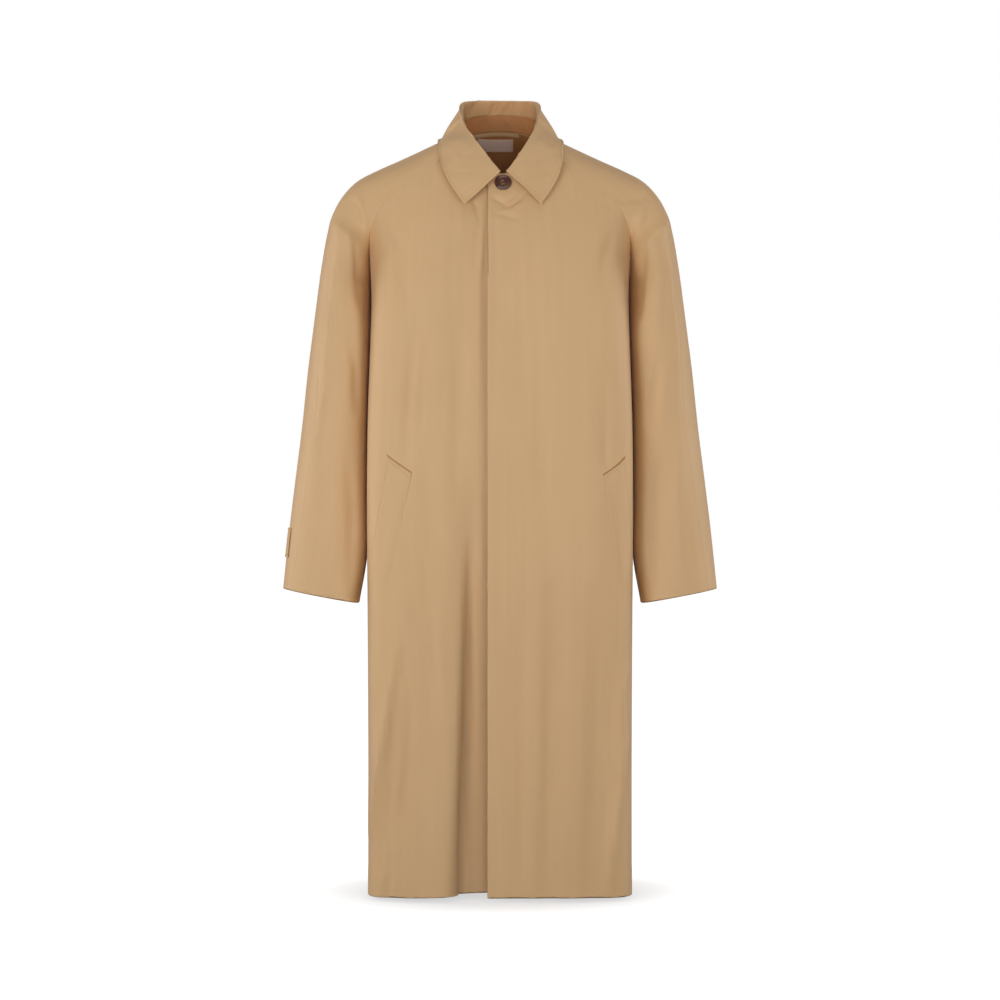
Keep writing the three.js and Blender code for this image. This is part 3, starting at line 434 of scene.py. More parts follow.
def fold_depth(folds, side, x, z):
    """Depth of the large soft folds at points of the front or back."""
    depth = np.zeros(np.broadcast(x, z).shape)
    for fold_side, start_x, start_z, end_x, end_z, wide, deep in folds:
        if fold_side != side:
            continue
        along = np.clip((z - start_z) / (end_z - start_z), 0, 1)
        across = (x - mix(start_x, end_x, along)) / wide
        depth += deep * np.sin(np.pi * along) ** FOLD_SWELL * np.exp(-across * across)
    return depth


def under_back(x, z):
    """How far the under front lies behind the form; x is measured away from the overlap."""
    turn = np.radians(look(RAGLAN, "frontTurn", z, "frontZ"))
    seam_x = on_form(FRONT_FORM, -1, turn, z)[..., 0] - UNDER_SEAM_CLEAR
    near, far = UNDER_REST_ENDS
    rest = look(UNDER_REST, "back", z) * (1 - ease(near, np.minimum(far, seam_x), x))
    fall = look(UNDER_FALL, "back", z) * (1 - ease(*UNDER_FALL_ENDS, x))
    forward = 1 - UNDER_FORWARD * (1 - ease(*UNDER_FORWARD_ENDS, x))
    return rest + np.maximum(0, fall) * forward


def front_point(side, angle, z):
    """Points of a front, for the wearer's left; the wearer's right is mirrored afterwards."""
    p = on_form(FRONT_FORM, -1, angle, z)
    x, z = p[..., 0], p[..., 2]
    p[..., 1] += fold_depth(FRONT_FOLDS, side, x, z) * ease(math.pi / 2, FOLDS_FULL_TURN, angle)
    if side < 0:
        p[..., 1] += under_back(x, z)
    return p


def back_point(side, angle, z):
    """Points of a back half."""
    p = on_form(BACK_FORM, 1, angle, z)
    x, z = p[..., 0], p[..., 2]
    p[..., 1] -= fold_depth(BACK_FOLDS, side, x, z) * ease(math.pi / 2, FOLDS_FULL_TURN, angle)
    return p


def patch(w, k, bottom, top, inner, outer):
    """Angles and levels between four edges; w runs across in a row, k up in a column."""
    pairs = []
    for n in (0, 1):
        low, high = bottom(w)[n], top(w)[n]
        left, right = inner(k)[n], outer(k)[n]
        low_ends = mix(bottom(np.zeros((1, 1)))[n], bottom(np.ones((1, 1)))[n], w)
        high_ends = mix(top(np.zeros((1, 1)))[n], top(np.ones((1, 1)))[n], w)
        pairs.append(mix(low, high, k) + mix(left, right, w) - mix(low_ends, high_ends, k))
    return pairs


def curve_point(points, t):
    """Points of an evenly timed spline through 2-D points."""
    points = np.array(points, float)
    last = len(points) - 1
    place = np.clip(t, 0, 1) * last
    i = np.clip(np.floor(place).astype(int), 0, last - 1)
    s = (place - i)[..., None]
    a, b, c, d = (points[np.clip(i + n, 0, last)] for n in (-1, 0, 1, 2))
    v, w = (c - a) / 2, (d - b) / 2
    return (2 * b - 2 * c + v + w) * s**3 + (-3 * b + 3 * c - 2 * v - w) * s**2 + v * s + b


def neck_front(edge_x, w):
    """Neckline of the fronts as x and z: level from the front edge, then a curve to the seam."""
    on_level = w / NECK_LEVEL_SHARE
    curved = curve_point(NECK_CURVE, (w - NECK_LEVEL_SHARE) / (1 - NECK_LEVEL_SHARE))
    level_x = mix(edge_x, NECK_CURVE[0][0], on_level)
    x = np.where(on_level < 1, level_x, curved[..., 0])
    return x, np.where(on_level < 1, NECK_FRONT_Z, curved[..., 1])


def neck_back(w):
    """Neckline of the back as x and z."""
    return NECK_BACK_X * w, mix(NECK_BACK_Z, NECK_BACK_SIDE_Z, w**NECK_BACK_BEND)


def raglan_place(which, k):
    """Angle and level of the front or back raglan seam, from the underarm (0) to the neck (1)."""
    return np.radians(look_even(RAGLAN, which + "Turn", k)), look_even(RAGLAN, which + "Z", k)


# Where the fine grids are cut
SKIRT_UP = spaced(176, 892, ends=(True, False))
YOKE_UP = spaced(46, 210, ends=(False, True))
FRONT_ACROSS = spaced(54, 250)
BACK_ACROSS = spaced(46, 230)
SLEEVE_FRONT_ACROSS = spaced(24, 120)
SLEEVE_BACK_ACROSS = spaced(34, 180)
ARM_DOWN = spaced(96, 470, ends=(False, True))
STATIONS = -1 + 2 * spaced(170, 900, near=(1.9, 3.2, 4.6, 6.5))
FALL_DOWN = spaced(48, 175, near=(1.9, 3.2, 4.6, 6.5, 8.5), ends=(False, True))
STAND_UP = spaced(8, 30, near=(1.8, 3.2))


def front_grid(side):
    """Grid of a front: rows go up from the hem, columns from the front edge to the side."""
    edge_x = TOP_EDGE_X if side > 0 else -UNDERLAP
    lift = 0 if side > 0 else HEM_LIFT_UNDER
    w, quarter = FRONT_ACROSS[None, :], math.pi / 2

    def edge(z):
        return angle_at(FRONT_FORM, edge_x, z)

    def neck(across):
        x, z = neck_front(edge_x, across)
        return angle_at(FRONT_FORM, x, z), z

    def front_edge(k):
        z = mix(UNDERARM_Z, NECK_FRONT_Z, k)
        return edge(z), z

    def bottom(across):
        return mix(edge(UNDERARM_Z), quarter, across), np.full_like(across, UNDERARM_Z)

    z = mix(HEM_Z, UNDERARM_Z, SKIRT_UP)[:, None]
    x = w * look(FRONT_FORM, "half", z)
    up = lift * (1 - SKIRT_UP[:, None]) * (1 - ease(*UNDER_FALL_ENDS, x))
    skirt = front_point(side, mix(edge(z), quarter, w), z + up)
    yoke = patch(w, YOKE_UP[1:, None], bottom, neck, front_edge, lambda k: raglan_place("front", k))
    return np.concatenate([skirt, front_point(side, *yoke)])


def back_grid(side):
    """Grid of a back half, from the middle to the side."""
    w, quarter = BACK_ACROSS[None, :], math.pi / 2

    def neck(across):
        x, z = neck_back(across)
        return angle_at(BACK_FORM, x, z), z

    def middle(k):
        return np.zeros_like(k), mix(UNDERARM_Z, NECK_BACK_Z, k)

    def bottom(across):
        return across * quarter, np.full_like(across, UNDERARM_Z)

    z = mix(HEM_Z, UNDERARM_Z, SKIRT_UP)[:, None]
    skirt = back_point(side, w * quarter, z + 0 * w)
    yoke = patch(w, YOKE_UP[1:, None], bottom, neck, middle, lambda k: raglan_place("back", k))
    return np.concatenate([skirt, back_point(side, *yoke)])


# Sleeves. round is 0 at the inner seam, 1 at the outermost line and 2 back at the inner seam;
# along runs from 0 at the neck to 1 at the cuff and passes the underarm at YOKE_SHARE.
def bezier(a, b, c, d, t):
    """Points of a cubic curve."""
    t = np.asarray(t)[..., None]
    s = 1 - t
    return a * s**3 + b * 3 * s * s * t + c * 3 * s * t * t + d * t**3


def leave(form, facing, place, k):
    """Direction in which the sleeve leaves a raglan seam: on with the body at the top, then
    folding back against it towards the underarm."""
    angle, z = place
    here = on_form(form, facing, angle, z)
    onward = unit(here - on_form(form, facing, angle - 0.08, z - 1.5))
    folded = np.array([0.12, facing, 0])
    return unit(mix(onward, folded, 1 - ease(*FOLDS_BACK_BELOW, k)[..., None]))


def shoulder_half(k, which, t):
    """Points over the shoulder, from a raglan seam (t 0) to the crown (1)."""
    form, facing = (FRONT_FORM, -1) if which == "front" else (BACK_FORM, 1)
    place = raglan_place(which, k)
    seam = on_form(form, facing, *place)
    crown = look_even(RAGLAN, "crown", k)
    reach = look_even(RAGLAN, "reach", k)[..., None]
    over = look_even(RAGLAN, "over", k)
    end = crown + stack(0, facing * over, 0)
    return bezier(seam, seam + leave(form, facing, place, k) * reach, end, crown, t)


def arm_half(t_along, which, t):
    """Points round the arm, from the inner seam (t 0) to the outermost line (1)."""
    facing = -1 if which == "front" else 1
    inner, outer = look_even(SLEEVE, "inner", t_along), look_even(SLEEVE, "outer", t_along)
    bow = stack(0, facing * look_even(SLEEVE, which, t_along) * 4 / 3, 0)
    lean = SLEEVE_LEAN * (which == "front") * ease(0, 0.2, t_along)[..., None]
    p = bezier(inner, inner + bow * (1 + lean), outer + bow * (1 - lean), outer, t)
    # The front of the sleeve lies flat nearly up to the body
    slow = t**4 * (35 - 84 * t + 70 * t**2 - 20 * t**3)
    plain = t * t * (3 - 2 * t)
    share = (slow - plain) * (1 - t) * (which == "front") * ease(0, 0.2, t_along)
    return p + (outer - inner) * share[..., None]


def sleeve_point(side, round_, along):
    """Points of a sleeve, for the wearer's left."""
    round_, along = np.broadcast_arrays(np.asarray(round_, float), np.asarray(along, float))
    k = np.clip(1 - along / YOKE_SHARE, 0, 1)
    arm = np.clip((along - YOKE_SHARE) / (1 - YOKE_SHARE), 0, 1)
    p = np.zeros(round_.shape + (3,))
    for which, t in (("front", np.clip(round_, 0, 1)), ("back", np.clip(2 - round_, 0, 1))):
        half = (round_ <= 1) == (which == "front")
        above = (along < YOKE_SHARE)[..., None]
        whole = np.where(above, shoulder_half(k, which, t), arm_half(arm, which, t))
        p[half] = whole[half]
    for fold_side, place, start, end, wide, deep in SLEEVE_FOLDS:
        if fold_side != side:
            continue
        share = np.clip((along - start) / (end - start), 0, 1)
        across = (round_ - place) / wide
        depth = deep * np.sin(np.pi * share) ** FOLD_SWELL * np.exp(-across * across)
        p[..., 1] += np.where(round_ <= 1, depth, -depth)
    return p


def sleeve_grid(side, which):
    """Grid of a sleeve half: rows go down from the neck, columns from the inner seam to the
    overarm seam."""
    yoke_down = (1 - YOKE_UP[::-1]) * YOKE_SHARE
    along = np.concatenate([yoke_down, mix(YOKE_SHARE, 1, ARM_DOWN[1:])])[:, None]
    seam = look(OVERARM, "share", along, "along")
    if which == "front":
        return sleeve_point(side, mix(0, seam, SLEEVE_FRONT_ACROSS[None, :]), along)
    return sleeve_point(side, mix(2, seam, SLEEVE_BACK_ACROSS[None, :]), along)


# Sheets of cloth
class Sheet:
    """One cut piece as a grid of points with its outward normals, in millimetres."""

    def __init__(self, name, points, turn, wall=WALL, free=""):
        self.name, self.points, self.turn, self.wall, self.free = name, points, turn, wall, free
        # How much of the darker colour of painted shade shows on each side
        self.outside_painted_shade = np.zeros(points.shape[:2])
        self.inside_painted_shade = 0
        self.settle()

    def settle(self):
        """Works the normals out again after the points have moved."""
        across, up = slopes(self.points)
        self.normals = unit(np.cross(across, up)) * self.turn

    def push(self, amount):
        """Moves the points out along their normals."""
        self.points = self.points + self.normals * amount[..., None]
        self.settle()


def slopes(points):
    """Directions across and up at each point of a grid."""
    return np.gradient(points, axis=1), np.gradient(points, axis=0)


def arcs(points):
    """Distance from the first column and from the first row, along the cloth."""
    across = np.linalg.norm(np.diff(points, axis=1), axis=-1)
    up = np.linalg.norm(np.diff(points, axis=0), axis=-1)
    return np.pad(np.cumsum(across, 1), ((0, 0), (1, 0))), np.pad(np.cumsum(up, 0), ((1, 0), (0, 0)))


def edge_distance(points, edges):
    """Distance along the cloth to the nearest of some edges: l, r, b or t (first or last column,
    first or last row)."""
    u, v = arcs(points)
    reach = {"l": u, "r": u[:, -1:] - u, "b": v, "t": v[-1:] - v}
    return np.minimum.reduce([reach[e] for e in edges])


def line_offset(x, z, line):
    """Distance of points from a line through x and z pairs, and the share along it, 0 to 1."""
    line = np.array(line, float)
    spans = np.linalg.norm(np.diff(line, axis=0), axis=1)
    starts = np.concatenate([[0], np.cumsum(spans)])
    best = np.full(x.shape, 1e9)
    share = np.zeros(x.shape)
    for a, b, start, span in zip(line[:-1], line[1:], starts, spans):
        run = ((x - a[0]) * (b[0] - a[0]) + (z - a[1]) * (b[1] - a[1])) / span
        inside = np.clip(run, 0, span)
        away_x = x - a[0] - (b[0] - a[0]) * inside / span
        away_z = z - a[1] - (b[1] - a[1]) * inside / span
        away = np.hypot(away_x, away_z)
        nearer = away < best
        best = np.where(nearer, away, best)
        share = np.where(nearer, (start + run) / starts[-1], share)
    return best, share


def pressed(points, creases):
    """How far creases move points: each has a width, a depth and a line as x and z."""
    x, z = points[..., 0], points[..., 2]
    amount = np.zeros(x.shape)
    for wide, deep, line in creases:
        away, share = line_offset(x, z, line)
        swell = np.sin(np.pi * np.clip(share, 0, 1)) ** FOLD_SWELL
        amount -= deep * swell * np.exp(-((away / wide) ** 2))
    return amount


def crease(sheet, seams):
    """Presses the listed creases into a sheet, dying out towards its seams."""
    amount = pressed(sheet.points, [row[1:] for row in CREASES if row[0] == sheet.name])
    amount *= bpy.context.scene.coat_cloth.crease_depth
    sheet.push(amount * ease(0, CREASE_SEAM_CLEAR, edge_distance(sheet.points, seams)))


def sew(a, b):
    """Leans the normals of two edges that are sewn together towards each other, in place."""
    share = np.clip((a * b).sum(-1, keepdims=True), 0, 1)
    was, other = a.copy(), b.copy()
    a[:] = unit(a + other * share)
    b[:] = unit(b + was * share)


def on_side(side, points):
    """Mirrors what was made for the wearer's left to the right."""
    return points if side > 0 else points * [-1, 1, 1]


@functools.cache
def panels():
    """Fronts, backs and sleeves, creased and sewn together."""
    made = {}
    for side, word in ((1, "left"), (-1, "right")):
        made[f"front_{word}"] = Sheet(
            f"front_{word}", on_side(side, front_grid(side)), side, free="lb"
        )
        made[f"back_{word}"] = Sheet(
            f"back_{word}", on_side(side, back_grid(side)), -side, free="b"
        )
        for which, turn in (("front", -side), ("back", side)):
            name = f"sleeve_{word}_{which}"
            made[name] = Sheet(name, on_side(side, sleeve_grid(side, which)), turn, free="t")
    for name, sheet in made.items():
        crease(sheet, {"f": "rt", "b": "lrt", "s": "lrb"}[name[0]])
        # Their insides take the darker colour as painted shade
        sheet.inside_painted_shade = 1
    skirt, yoke = len(SKIRT_UP), len(YOKE_UP)
    for word in ("left", "right"):
        front, back = made[f"front_{word}"].normals, made[f"back_{word}"].normals
        sleeve_front = made[f"sleeve_{word}_front"].normals
        sleeve_back = made[f"sleeve_{word}_back"].normals
        sew(front[:skirt, -1], back[:skirt, -1])
        sew(front[skirt:, -1][::-1], sleeve_front[: yoke - 1, 0])
        sew(back[skirt:, -1][::-1], sleeve_back[: yoke - 1, 0])
        sew(sleeve_front[:, -1], sleeve_back[:, -1])
        sew(sleeve_front[yoke - 1 :, 0], sleeve_back[yoke - 1 :, 0])
    sew(made["back_left"].normals[:, 0], made["back_right"].normals[:, 0])
    return made


# Collar
def neckline(at):
    """The neckline from the middle of the back (0) over the shoulder to the front edge (1)."""
    share = np.abs(at)
    back_seam, crown, front_seam = NECK_SHARES.values()
    x, z = neck_back(np.clip(share / back_seam, 0, 1))
    on_back = on_form(BACK_FORM, 1, angle_at(BACK_FORM, x, z), z)
    over_back = mix(2, 1, (share - back_seam) / (crown - back_seam))
    over_front = mix(1, 0, (share - crown) / (front_seam - crown))
    over = sleeve_point(1, np.clip(np.where(share < crown, over_back, over_front), 0, 2), 0 * share)
    x, z = neck_front(0, mix(1, 0.12, np.clip((share - front_seam) / (1 - front_seam), 0, 1)))
    on_front = on_form(FRONT_FORM, -1, angle_at(FRONT_FORM, x, z), z)
    p = np.where((share < front_seam)[..., None], over, on_front)
    p = np.where((share <= back_seam)[..., None], on_back, p)
    p[..., 0] *= np.where(at < 0, -1, 1)
    return p


def collar_line(which, at):
    """Points of the roll line or the edge, on either side; both leaves meet a little off the middle."""
    whole = {
        "at": np.concatenate([-COLLAR["at"][:0:-1], COLLAR["at"]]),
        which: np.concatenate([COLLAR[which][:0:-1] * [-1, 1, 1], COLLAR[which]]),
    }
    p = look(whole, which, at, "at")
    p[..., 0] += COLLAR_MEET_X * ease(LEAF_STARTS, 1, np.abs(at))
    return p


def stand_top(at):
    """Points along the top edge of the stand."""
    return mix(neckline(at), collar_line("roll", at), look(COLLAR, "stand", np.abs(at), "at")[..., None])


def stand_sheet():
    """The collar stand, a strip that rises from the neckline."""
    stations = STATIONS * STAND_REACH
    base, top = neckline(stations), stand_top(stations)
    base = base + unit(top - base) * SEAM_GAP * 3
    points = mix(base[None], top[None], STAND_UP[:, None, None])
    stand = Sheet("collar_stand", points, -1, COLLAR_WALL)
    crease(stand, "bt")
    # Its inside takes the darker colour as painted shade
    stand.inside_painted_shade = 1
    return stand


def smooth_through(points, shares):
    """Points of a smooth curve through a few lines of control points, a row for each share."""
    points = [2 * points[0] - points[1], *points, 2 * points[-1] - points[-2]]
    spans = len(points) - 3
    rows = []
    for share in shares:
        i = min(int(share * spans), spans - 1)
        s = share * spans - i
        a, b, c, d = points[i : i + 4]
        pairs = ((a, b), (b, c), (c, d))
        p, q, r = (np.linalg.norm(n - m, axis=-1, keepdims=True) ** 0.5 for m, n in pairs)
        start = ((b - a) / p - (c - a) / (p + q) + (c - b) / q) * q
        end = ((c - b) / q - (d - b) / (q + r) + (d - c) / r) * q
        square, cube = 3 * c - 3 * b - 2 * start - end, 2 * b - 2 * c + start + end
        rows.append(b + start * s + square * s**2 + cube * s**3)
    return np.stack(rows)


def along_part(v, direction):
    """The part of vectors that runs along a unit direction."""
    return direction * (v * direction).sum(-1, keepdims=True)


def fall_points(at, shares):
    """The fall of the collar: up from the stand, round the fold and down to the edge."""
    stand, roll, edge = stand_top(at), collar_line("roll", at), collar_line("edge", at)
    risen, fallen = unit(roll - stand), unit(edge - roll)
    apex = unit(risen - fallen)
    across = unit(edge - stand - along_part(edge - stand, apex))
    over = roll + across * FOLD_WIDTH
    top = roll + across * FOLD_WIDTH / 2 + apex * FOLD_HEIGHT
    outward = unit(across - along_part(across, fallen))
    middle = (over + edge) / 2 + outward * look(COLLAR, "bulge", np.abs(at), "at")[..., None]
    stand_out = unit(np.cross(risen, stand_top(at + 0.01) - stand_top(at - 0.01)))
    gap = SEAM_GAP * mix(*START_GAPS, ease(*LEAVES_CLOSE, np.abs(at)))[..., None]
    start = stand - stand_out * COLLAR_WALL + risen * gap
    start = mix(start, roll - apex * TUCKED_IN, ease(*TUCK_STARTS, np.abs(at))[..., None])
    return smooth_through([start, roll, top, over, middle, edge], shares)


def lift_clear(points, cloth, normals, need):
    """Lifts points clear of the cloth beneath, felt as a smooth mean of its points and normals."""
    away = ((points[:, None] - cloth[None]) ** 2).sum(-1)
    weight = np.exp(-away / COLLAR_FEEL**2)
    total = weight.sum(1, keepdims=True)
    felt = np.maximum(total, 1e-6)
    spot, normal = weight @ cloth / felt, unit(weight @ normals)
    height = ((points - spot) * normal).sum(-1, keepdims=True)
    return points + np.where(total > 1e-6, normal * np.maximum(0, need - height), 0)


def fall_sheet(stand):
    """The fall with its points, laid over the shoulders, with its edge turned and pressed."""
    points = fall_points(STATIONS, FALL_DOWN)
    sheets = [*panels().values(), stand]
    cloth = np.concatenate([s.points.reshape(-1, 3) for s in sheets])
    normals = np.concatenate([s.normals.reshape(-1, 3) for s in sheets])
    near = (np.abs(cloth[:, 0]) < COLLAR_REACH[0]) & (cloth[:, 2] > COLLAR_REACH[1])
    cloth, normals = cloth[near][::2], normals[near][::2]
    for row in np.flatnonzero(FALL_DOWN > FALL_OVER):
        for _ in range(LAY_PASSES):
            points[row] = lift_clear(points[row], cloth, normals, COLLAR_WALL + COLLAR_CLEAR)
    fall = Sheet("collar_fall", points, 1, FALL_WALL, free="lrt")
    on_leaf = ease(FALL_OVER, LEAF_FLAT, FALL_DOWN)[:, None] * (points[..., 1] < 0)
    on_band = (1 - ease(*BAND_ENDS, FALL_DOWN))[:, None] * np.ones(points.shape[:2])
    leaf_creases, band_creases = pressed(points, LEAF_CREASES), pressed(points, BAND_CREASES)
    fall.push(leaf_creases * on_leaf)
    fall.push(band_creases * on_band * (points[..., 1] > 0))
    # Painted shade: the inside band takes part of the darker colour
    fall.outside_painted_shade = BAND_PAINTED_SHADE * on_band
    press_edge(fall, "lrt")
    return fall


def press_edge(sheet, sides):
    """The roll of a turned edge: a low bead at the edge and a groove along its row of stitches."""
    away = edge_distance(sheet.points, sides)
    inset = bpy.context.scene.coat_sewing.edge_inset / MM
    bead = EDGE_BEAD * (1 - ease(inset * 0.35, inset * 0.8, away))
    groove = STITCH_GROOVE * np.exp(-(((away - inset) / (inset * 0.25)) ** 2))
    sheet.push(bead - groove)


# Trims laid on the cloth
def lay_on(name, points, turn, wall, lift):
    """A trim piece that lies on a panel: the panel's own points, moved out."""
    piece = Sheet(name, points, turn, wall, "lrbt")
    piece.push(lift * np.ones(points.shape[:2]))
    return piece


def go_round(z, angle, distance):
    """Angle reached by going a distance round the front from a starting angle."""
    steps = angle[:, None] + np.arange(0, 1.2, 0.004)
    points = on_form(FRONT_FORM, -1, steps, z[:, None])
    gone = np.pad(np.cumsum(np.linalg.norm(np.diff(points, axis=1), axis=-1), 1), ((0, 0), (1, 0)))
    return np.array([np.interp(distance, run, turns) for run, turns in zip(gone, steps)])


def welt_sheet(side, name, top_x, top_z, end_x, end_z, rise):
    """A slanted pocket welt."""
    v, w = spaced(50, 165, near=(1.9, 3.4, 5)), spaced(12, WELT_WIDE, near=(1.9, 3.4))
    z = mix(end_z, top_z, v)
    inner = angle_at(FRONT_FORM, mix(end_x, top_x, v), z)
    outer = go_round(z, inner, WELT_WIDE)
    angle = mix(inner[:, None], outer[:, None], w[None])
    points = front_point(side, angle, z[:, None] + rise * w[None])
    lift = mix(*WELT_LIFT, ease(WELT_LIFTS_FROM, 1, v))[:, None]
    welt = lay_on(name, on_side(side, points), side, TRIM_WALL, lift)
    press_edge(welt, "t")
    return welt


def pocket_slit_shadow(welt):
    """A thin dark strip over a welt's top end: the painted shadow of its slit, in the darker colour of
    painted shade.
    """
    end, normals = welt.points[-1], welt.normals[-1]
    line = end + unit(end - welt.points[-2]) * MOUTH_OVER - normals * WELT_LIFT[1]
    vertices, faces = tube(line, [MOUTH_WIDE / 2] * len(line), 8)
    reverse = np.ones(len(vertices))
    slit = make_object(f"{welt.name}_mouth", vertices, faces, gabardine_material(), reverse=reverse)
    return declare(slit, None)


def tab_sheet(side, name, start, end, high, low, _):
    """A sleeve tab."""
    v, w = spaced(12, 45, near=(1.9, 3.4)), spaced(60, 150, near=(1.9, 3.4, 5))
    points = sleeve_point(side, mix(start, end, w)[None], mix(high, low, v)[:, None])
    tab = lay_on(name, on_side(side, points), side, WALL, TAB_LIFT)
    press_edge(tab, "lrbt")
    return tab


def inside_back(name, x, z, bow, inward):
    """A trim piece on the inside of the back neck."""
    points = on_form(BACK_FORM, 1, angle_at(BACK_FORM, x, z), z)
    points[..., 1] -= WALL + inward + bow
    return Sheet(name, points, 1, TRIM_INSIDE_WALL, free="lrbt")


# Meshes
def halves(quads, points):
    """Two triangles for each quad, along its shorter diagonal, so that both sides of a wall match."""
    a, b, c, d = (points[quads[:, n]] for n in range(4))
    along = (np.linalg.norm(a - c, axis=-1) <= np.linalg.norm(b - d, axis=-1))[:, None]
    first = np.where(along, quads[:, [0, 1, 2]], quads[:, [0, 1, 3]])
    return np.concatenate([first, np.where(along, quads[:, [0, 2, 3]], quads[:, [1, 2, 3]])])


def shell(sheet):
    """Vertices, faces, flat places and shares of painted shade of a closed cloth wall with rounded edges.
    """
    p, n, wall = sheet.points.copy(), sheet.normals, sheet.wall
    rows, columns = p.shape[:2]
    outward, radius = np.zeros_like(p), np.zeros((rows, columns, 1))
    borders = {"l": np.s_[:, 0], "r": np.s_[:, -1], "b": np.s_[0], "t": np.s_[-1]}
    inners = {"l": np.s_[:, 1], "r": np.s_[:, -2], "b": np.s_[1], "t": np.s_[-2]}
    for side, border in borders.items():
        away = unit(sheet.points[border] - sheet.points[inners[side]])
        rim = wall / 2 if side in sheet.free else SEAM_ROUND
        p[border] -= away * (rim + (SEAM_GAP / 2 if side in sheet.free else -SEAM_LAP))
        outward[border] += away
        radius[border] = np.maximum(radius[border], rim)
    index = np.arange(rows * columns).reshape(rows, columns)
    loop = np.concatenate([index[0, :-1], index[:-1, -1], index[-1, :0:-1], index[:0:-1, 0]])
    flat = [a.reshape(-1, a.shape[-1]) for a in (p, n, unit(outward), radius)]
    points, normals, away, rim = flat
    middle = points[loop] - normals[loop] * wall / 2
    rings = [
        middle + normals[loop] * math.cos(a) * wall / 2 + away[loop] * math.sin(a) * rim[loop]
        for a in ROUND_STEPS
    ]
    count, size = len(points), len(loop)
    vertices = np.concatenate([points, points - normals * wall, *rings])
    ids = [loop, *(2 * count + size * k + np.arange(size) for k in range(len(rings))), loop + count]
    grid = np.stack([index[:-1, :-1], index[:-1, 1:], index[1:, 1:], index[1:, :-1]], -1).reshape(-1, 4)
    grid = halves(grid, points)
    faces = [grid, grid[:, ::-1] + count]
    for a, b in zip(ids[:-1], ids[1:]):
        faces.append(halves(np.stack([a, b, np.roll(b, -1), np.roll(a, -1)], -1), vertices))
    faces = np.concatenate(faces)
    if sheet.turn < 0:
        faces = faces[:, ::-1]
    u, v = arcs(sheet.points)
    places = np.stack([u, v], -1).reshape(-1, 2)
    places = np.concatenate([places, places, *[places[loop]] * len(rings)])
    outside = sheet.outside_painted_shade.ravel()
    inside = np.full(count, float(sheet.inside_painted_shade))
    return vertices, faces, places, np.concatenate([outside, inside, *[outside[loop]] * len(rings)])


def make_object(name, vertices, faces, material, places=None, reverse=None):
    """A smooth mesh object in metres from points in millimetres."""
    mesh = bpy.data.meshes.new(name)
    mesh.from_pydata((vertices * MM).tolist(), [], [list(map(int, face)) for face in faces])
    if places is not None:
        corners = np.zeros(len(mesh.loops), int)
        mesh.loops.foreach_get("vertex_index", corners)
        layer = mesh.uv_layers.new(name="flat")
        layer.data.foreach_set("uv", (places[corners] * MM).astype(np.float32).ravel())
    if reverse is not None:
        shares = mesh.attributes.new("reverse", "FLOAT", "POINT")
        shares.data.foreach_set("value", reverse.astype(np.float32))
    mesh.shade_smooth()
    mesh.materials.append(material)
    obj = bpy.data.objects.new(name, mesh)
    bpy.context.scene.collection.objects.link(obj)
    return obj


def declare(obj, node):
    """A dressed piece stands for its solid and rides on the coat."""
    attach(obj, "root")
    if node:
        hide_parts(node)
    return obj


def dress(sheet, material, with_pieces=()):
    """The finished piece of a sheet of cloth."""
    vertices, faces, places, reverse = shell(sheet)
    obj = make_object(f"{sheet.name}_cloth", vertices, faces, material, places, reverse)
    declare(obj, sheet.name)
    return obj


# Sewing
def inset_line(sheet, side, inset):
    """Points and normals of the cloth a distance in from one of its edges, kept off its corners."""
    u, v = arcs(sheet.points)
    values = np.concatenate([sheet.points, sheet.normals], axis=-1)
    if side in "lr":
        away = u if side == "l" else u[:, -1:] - u
    else:
        values, away = values.swapaxes(0, 1), (v if side == "b" else v[-1:] - v).T
    line = []
    for across, row in zip(away, values):
        if side in "rt":
            across, row = across[::-1], row[::-1]
        line.append([np.interp(inset, across, row[:, n]) for n in range(6)])
    line = np.array(line)
    ends = np.concatenate([[0], np.cumsum(np.linalg.norm(np.diff(line[:, :3], axis=0), axis=1))])
    short = min(inset, ends[-1] / 6)
    places = np.linspace(short, ends[-1] - short, len(line))
    line = np.stack([np.interp(places, ends, line[:, n]) for n in range(6)], -1)
    return line[:, :3], unit(line[:, 3:])


def tube(points, radii, sides=6):
    """Vertices and faces of a closed tube along points."""
    points = np.asarray(points, float)
    run = unit(np.gradient(points, axis=0))
    first = unit(np.cross(run, [0.31, 0.87, 0.39]))
    second = np.cross(run, first)
    turn = np.arange(sides) * 2 * math.pi / sides
    ring = first[:, None] * np.cos(turn)[:, None] + second[:, None] * np.sin(turn)[:, None]
    vertices = (points[:, None] + ring * np.asarray(radii)[:, None, None]).reshape(-1, 3)
    index = np.arange(len(points) * sides).reshape(-1, sides)
    nextto = np.roll(index, -1, axis=1)
    faces = np.stack([index[:-1], nextto[:-1], nextto[1:], index[1:]], -1).reshape(-1, 4).tolist()
    return vertices, [*faces, index[0][::-1].tolist(), index[-1].tolist()]


def joined(parts):
    """Several meshes as one list of vertices and faces."""
    vertices, faces, start = [], [], 0
    for points, polygons in parts:
        vertices.append(points)
        faces += [[start + i for i in polygon] for polygon in polygons]
        start += len(points)
    return np.concatenate(vertices), faces


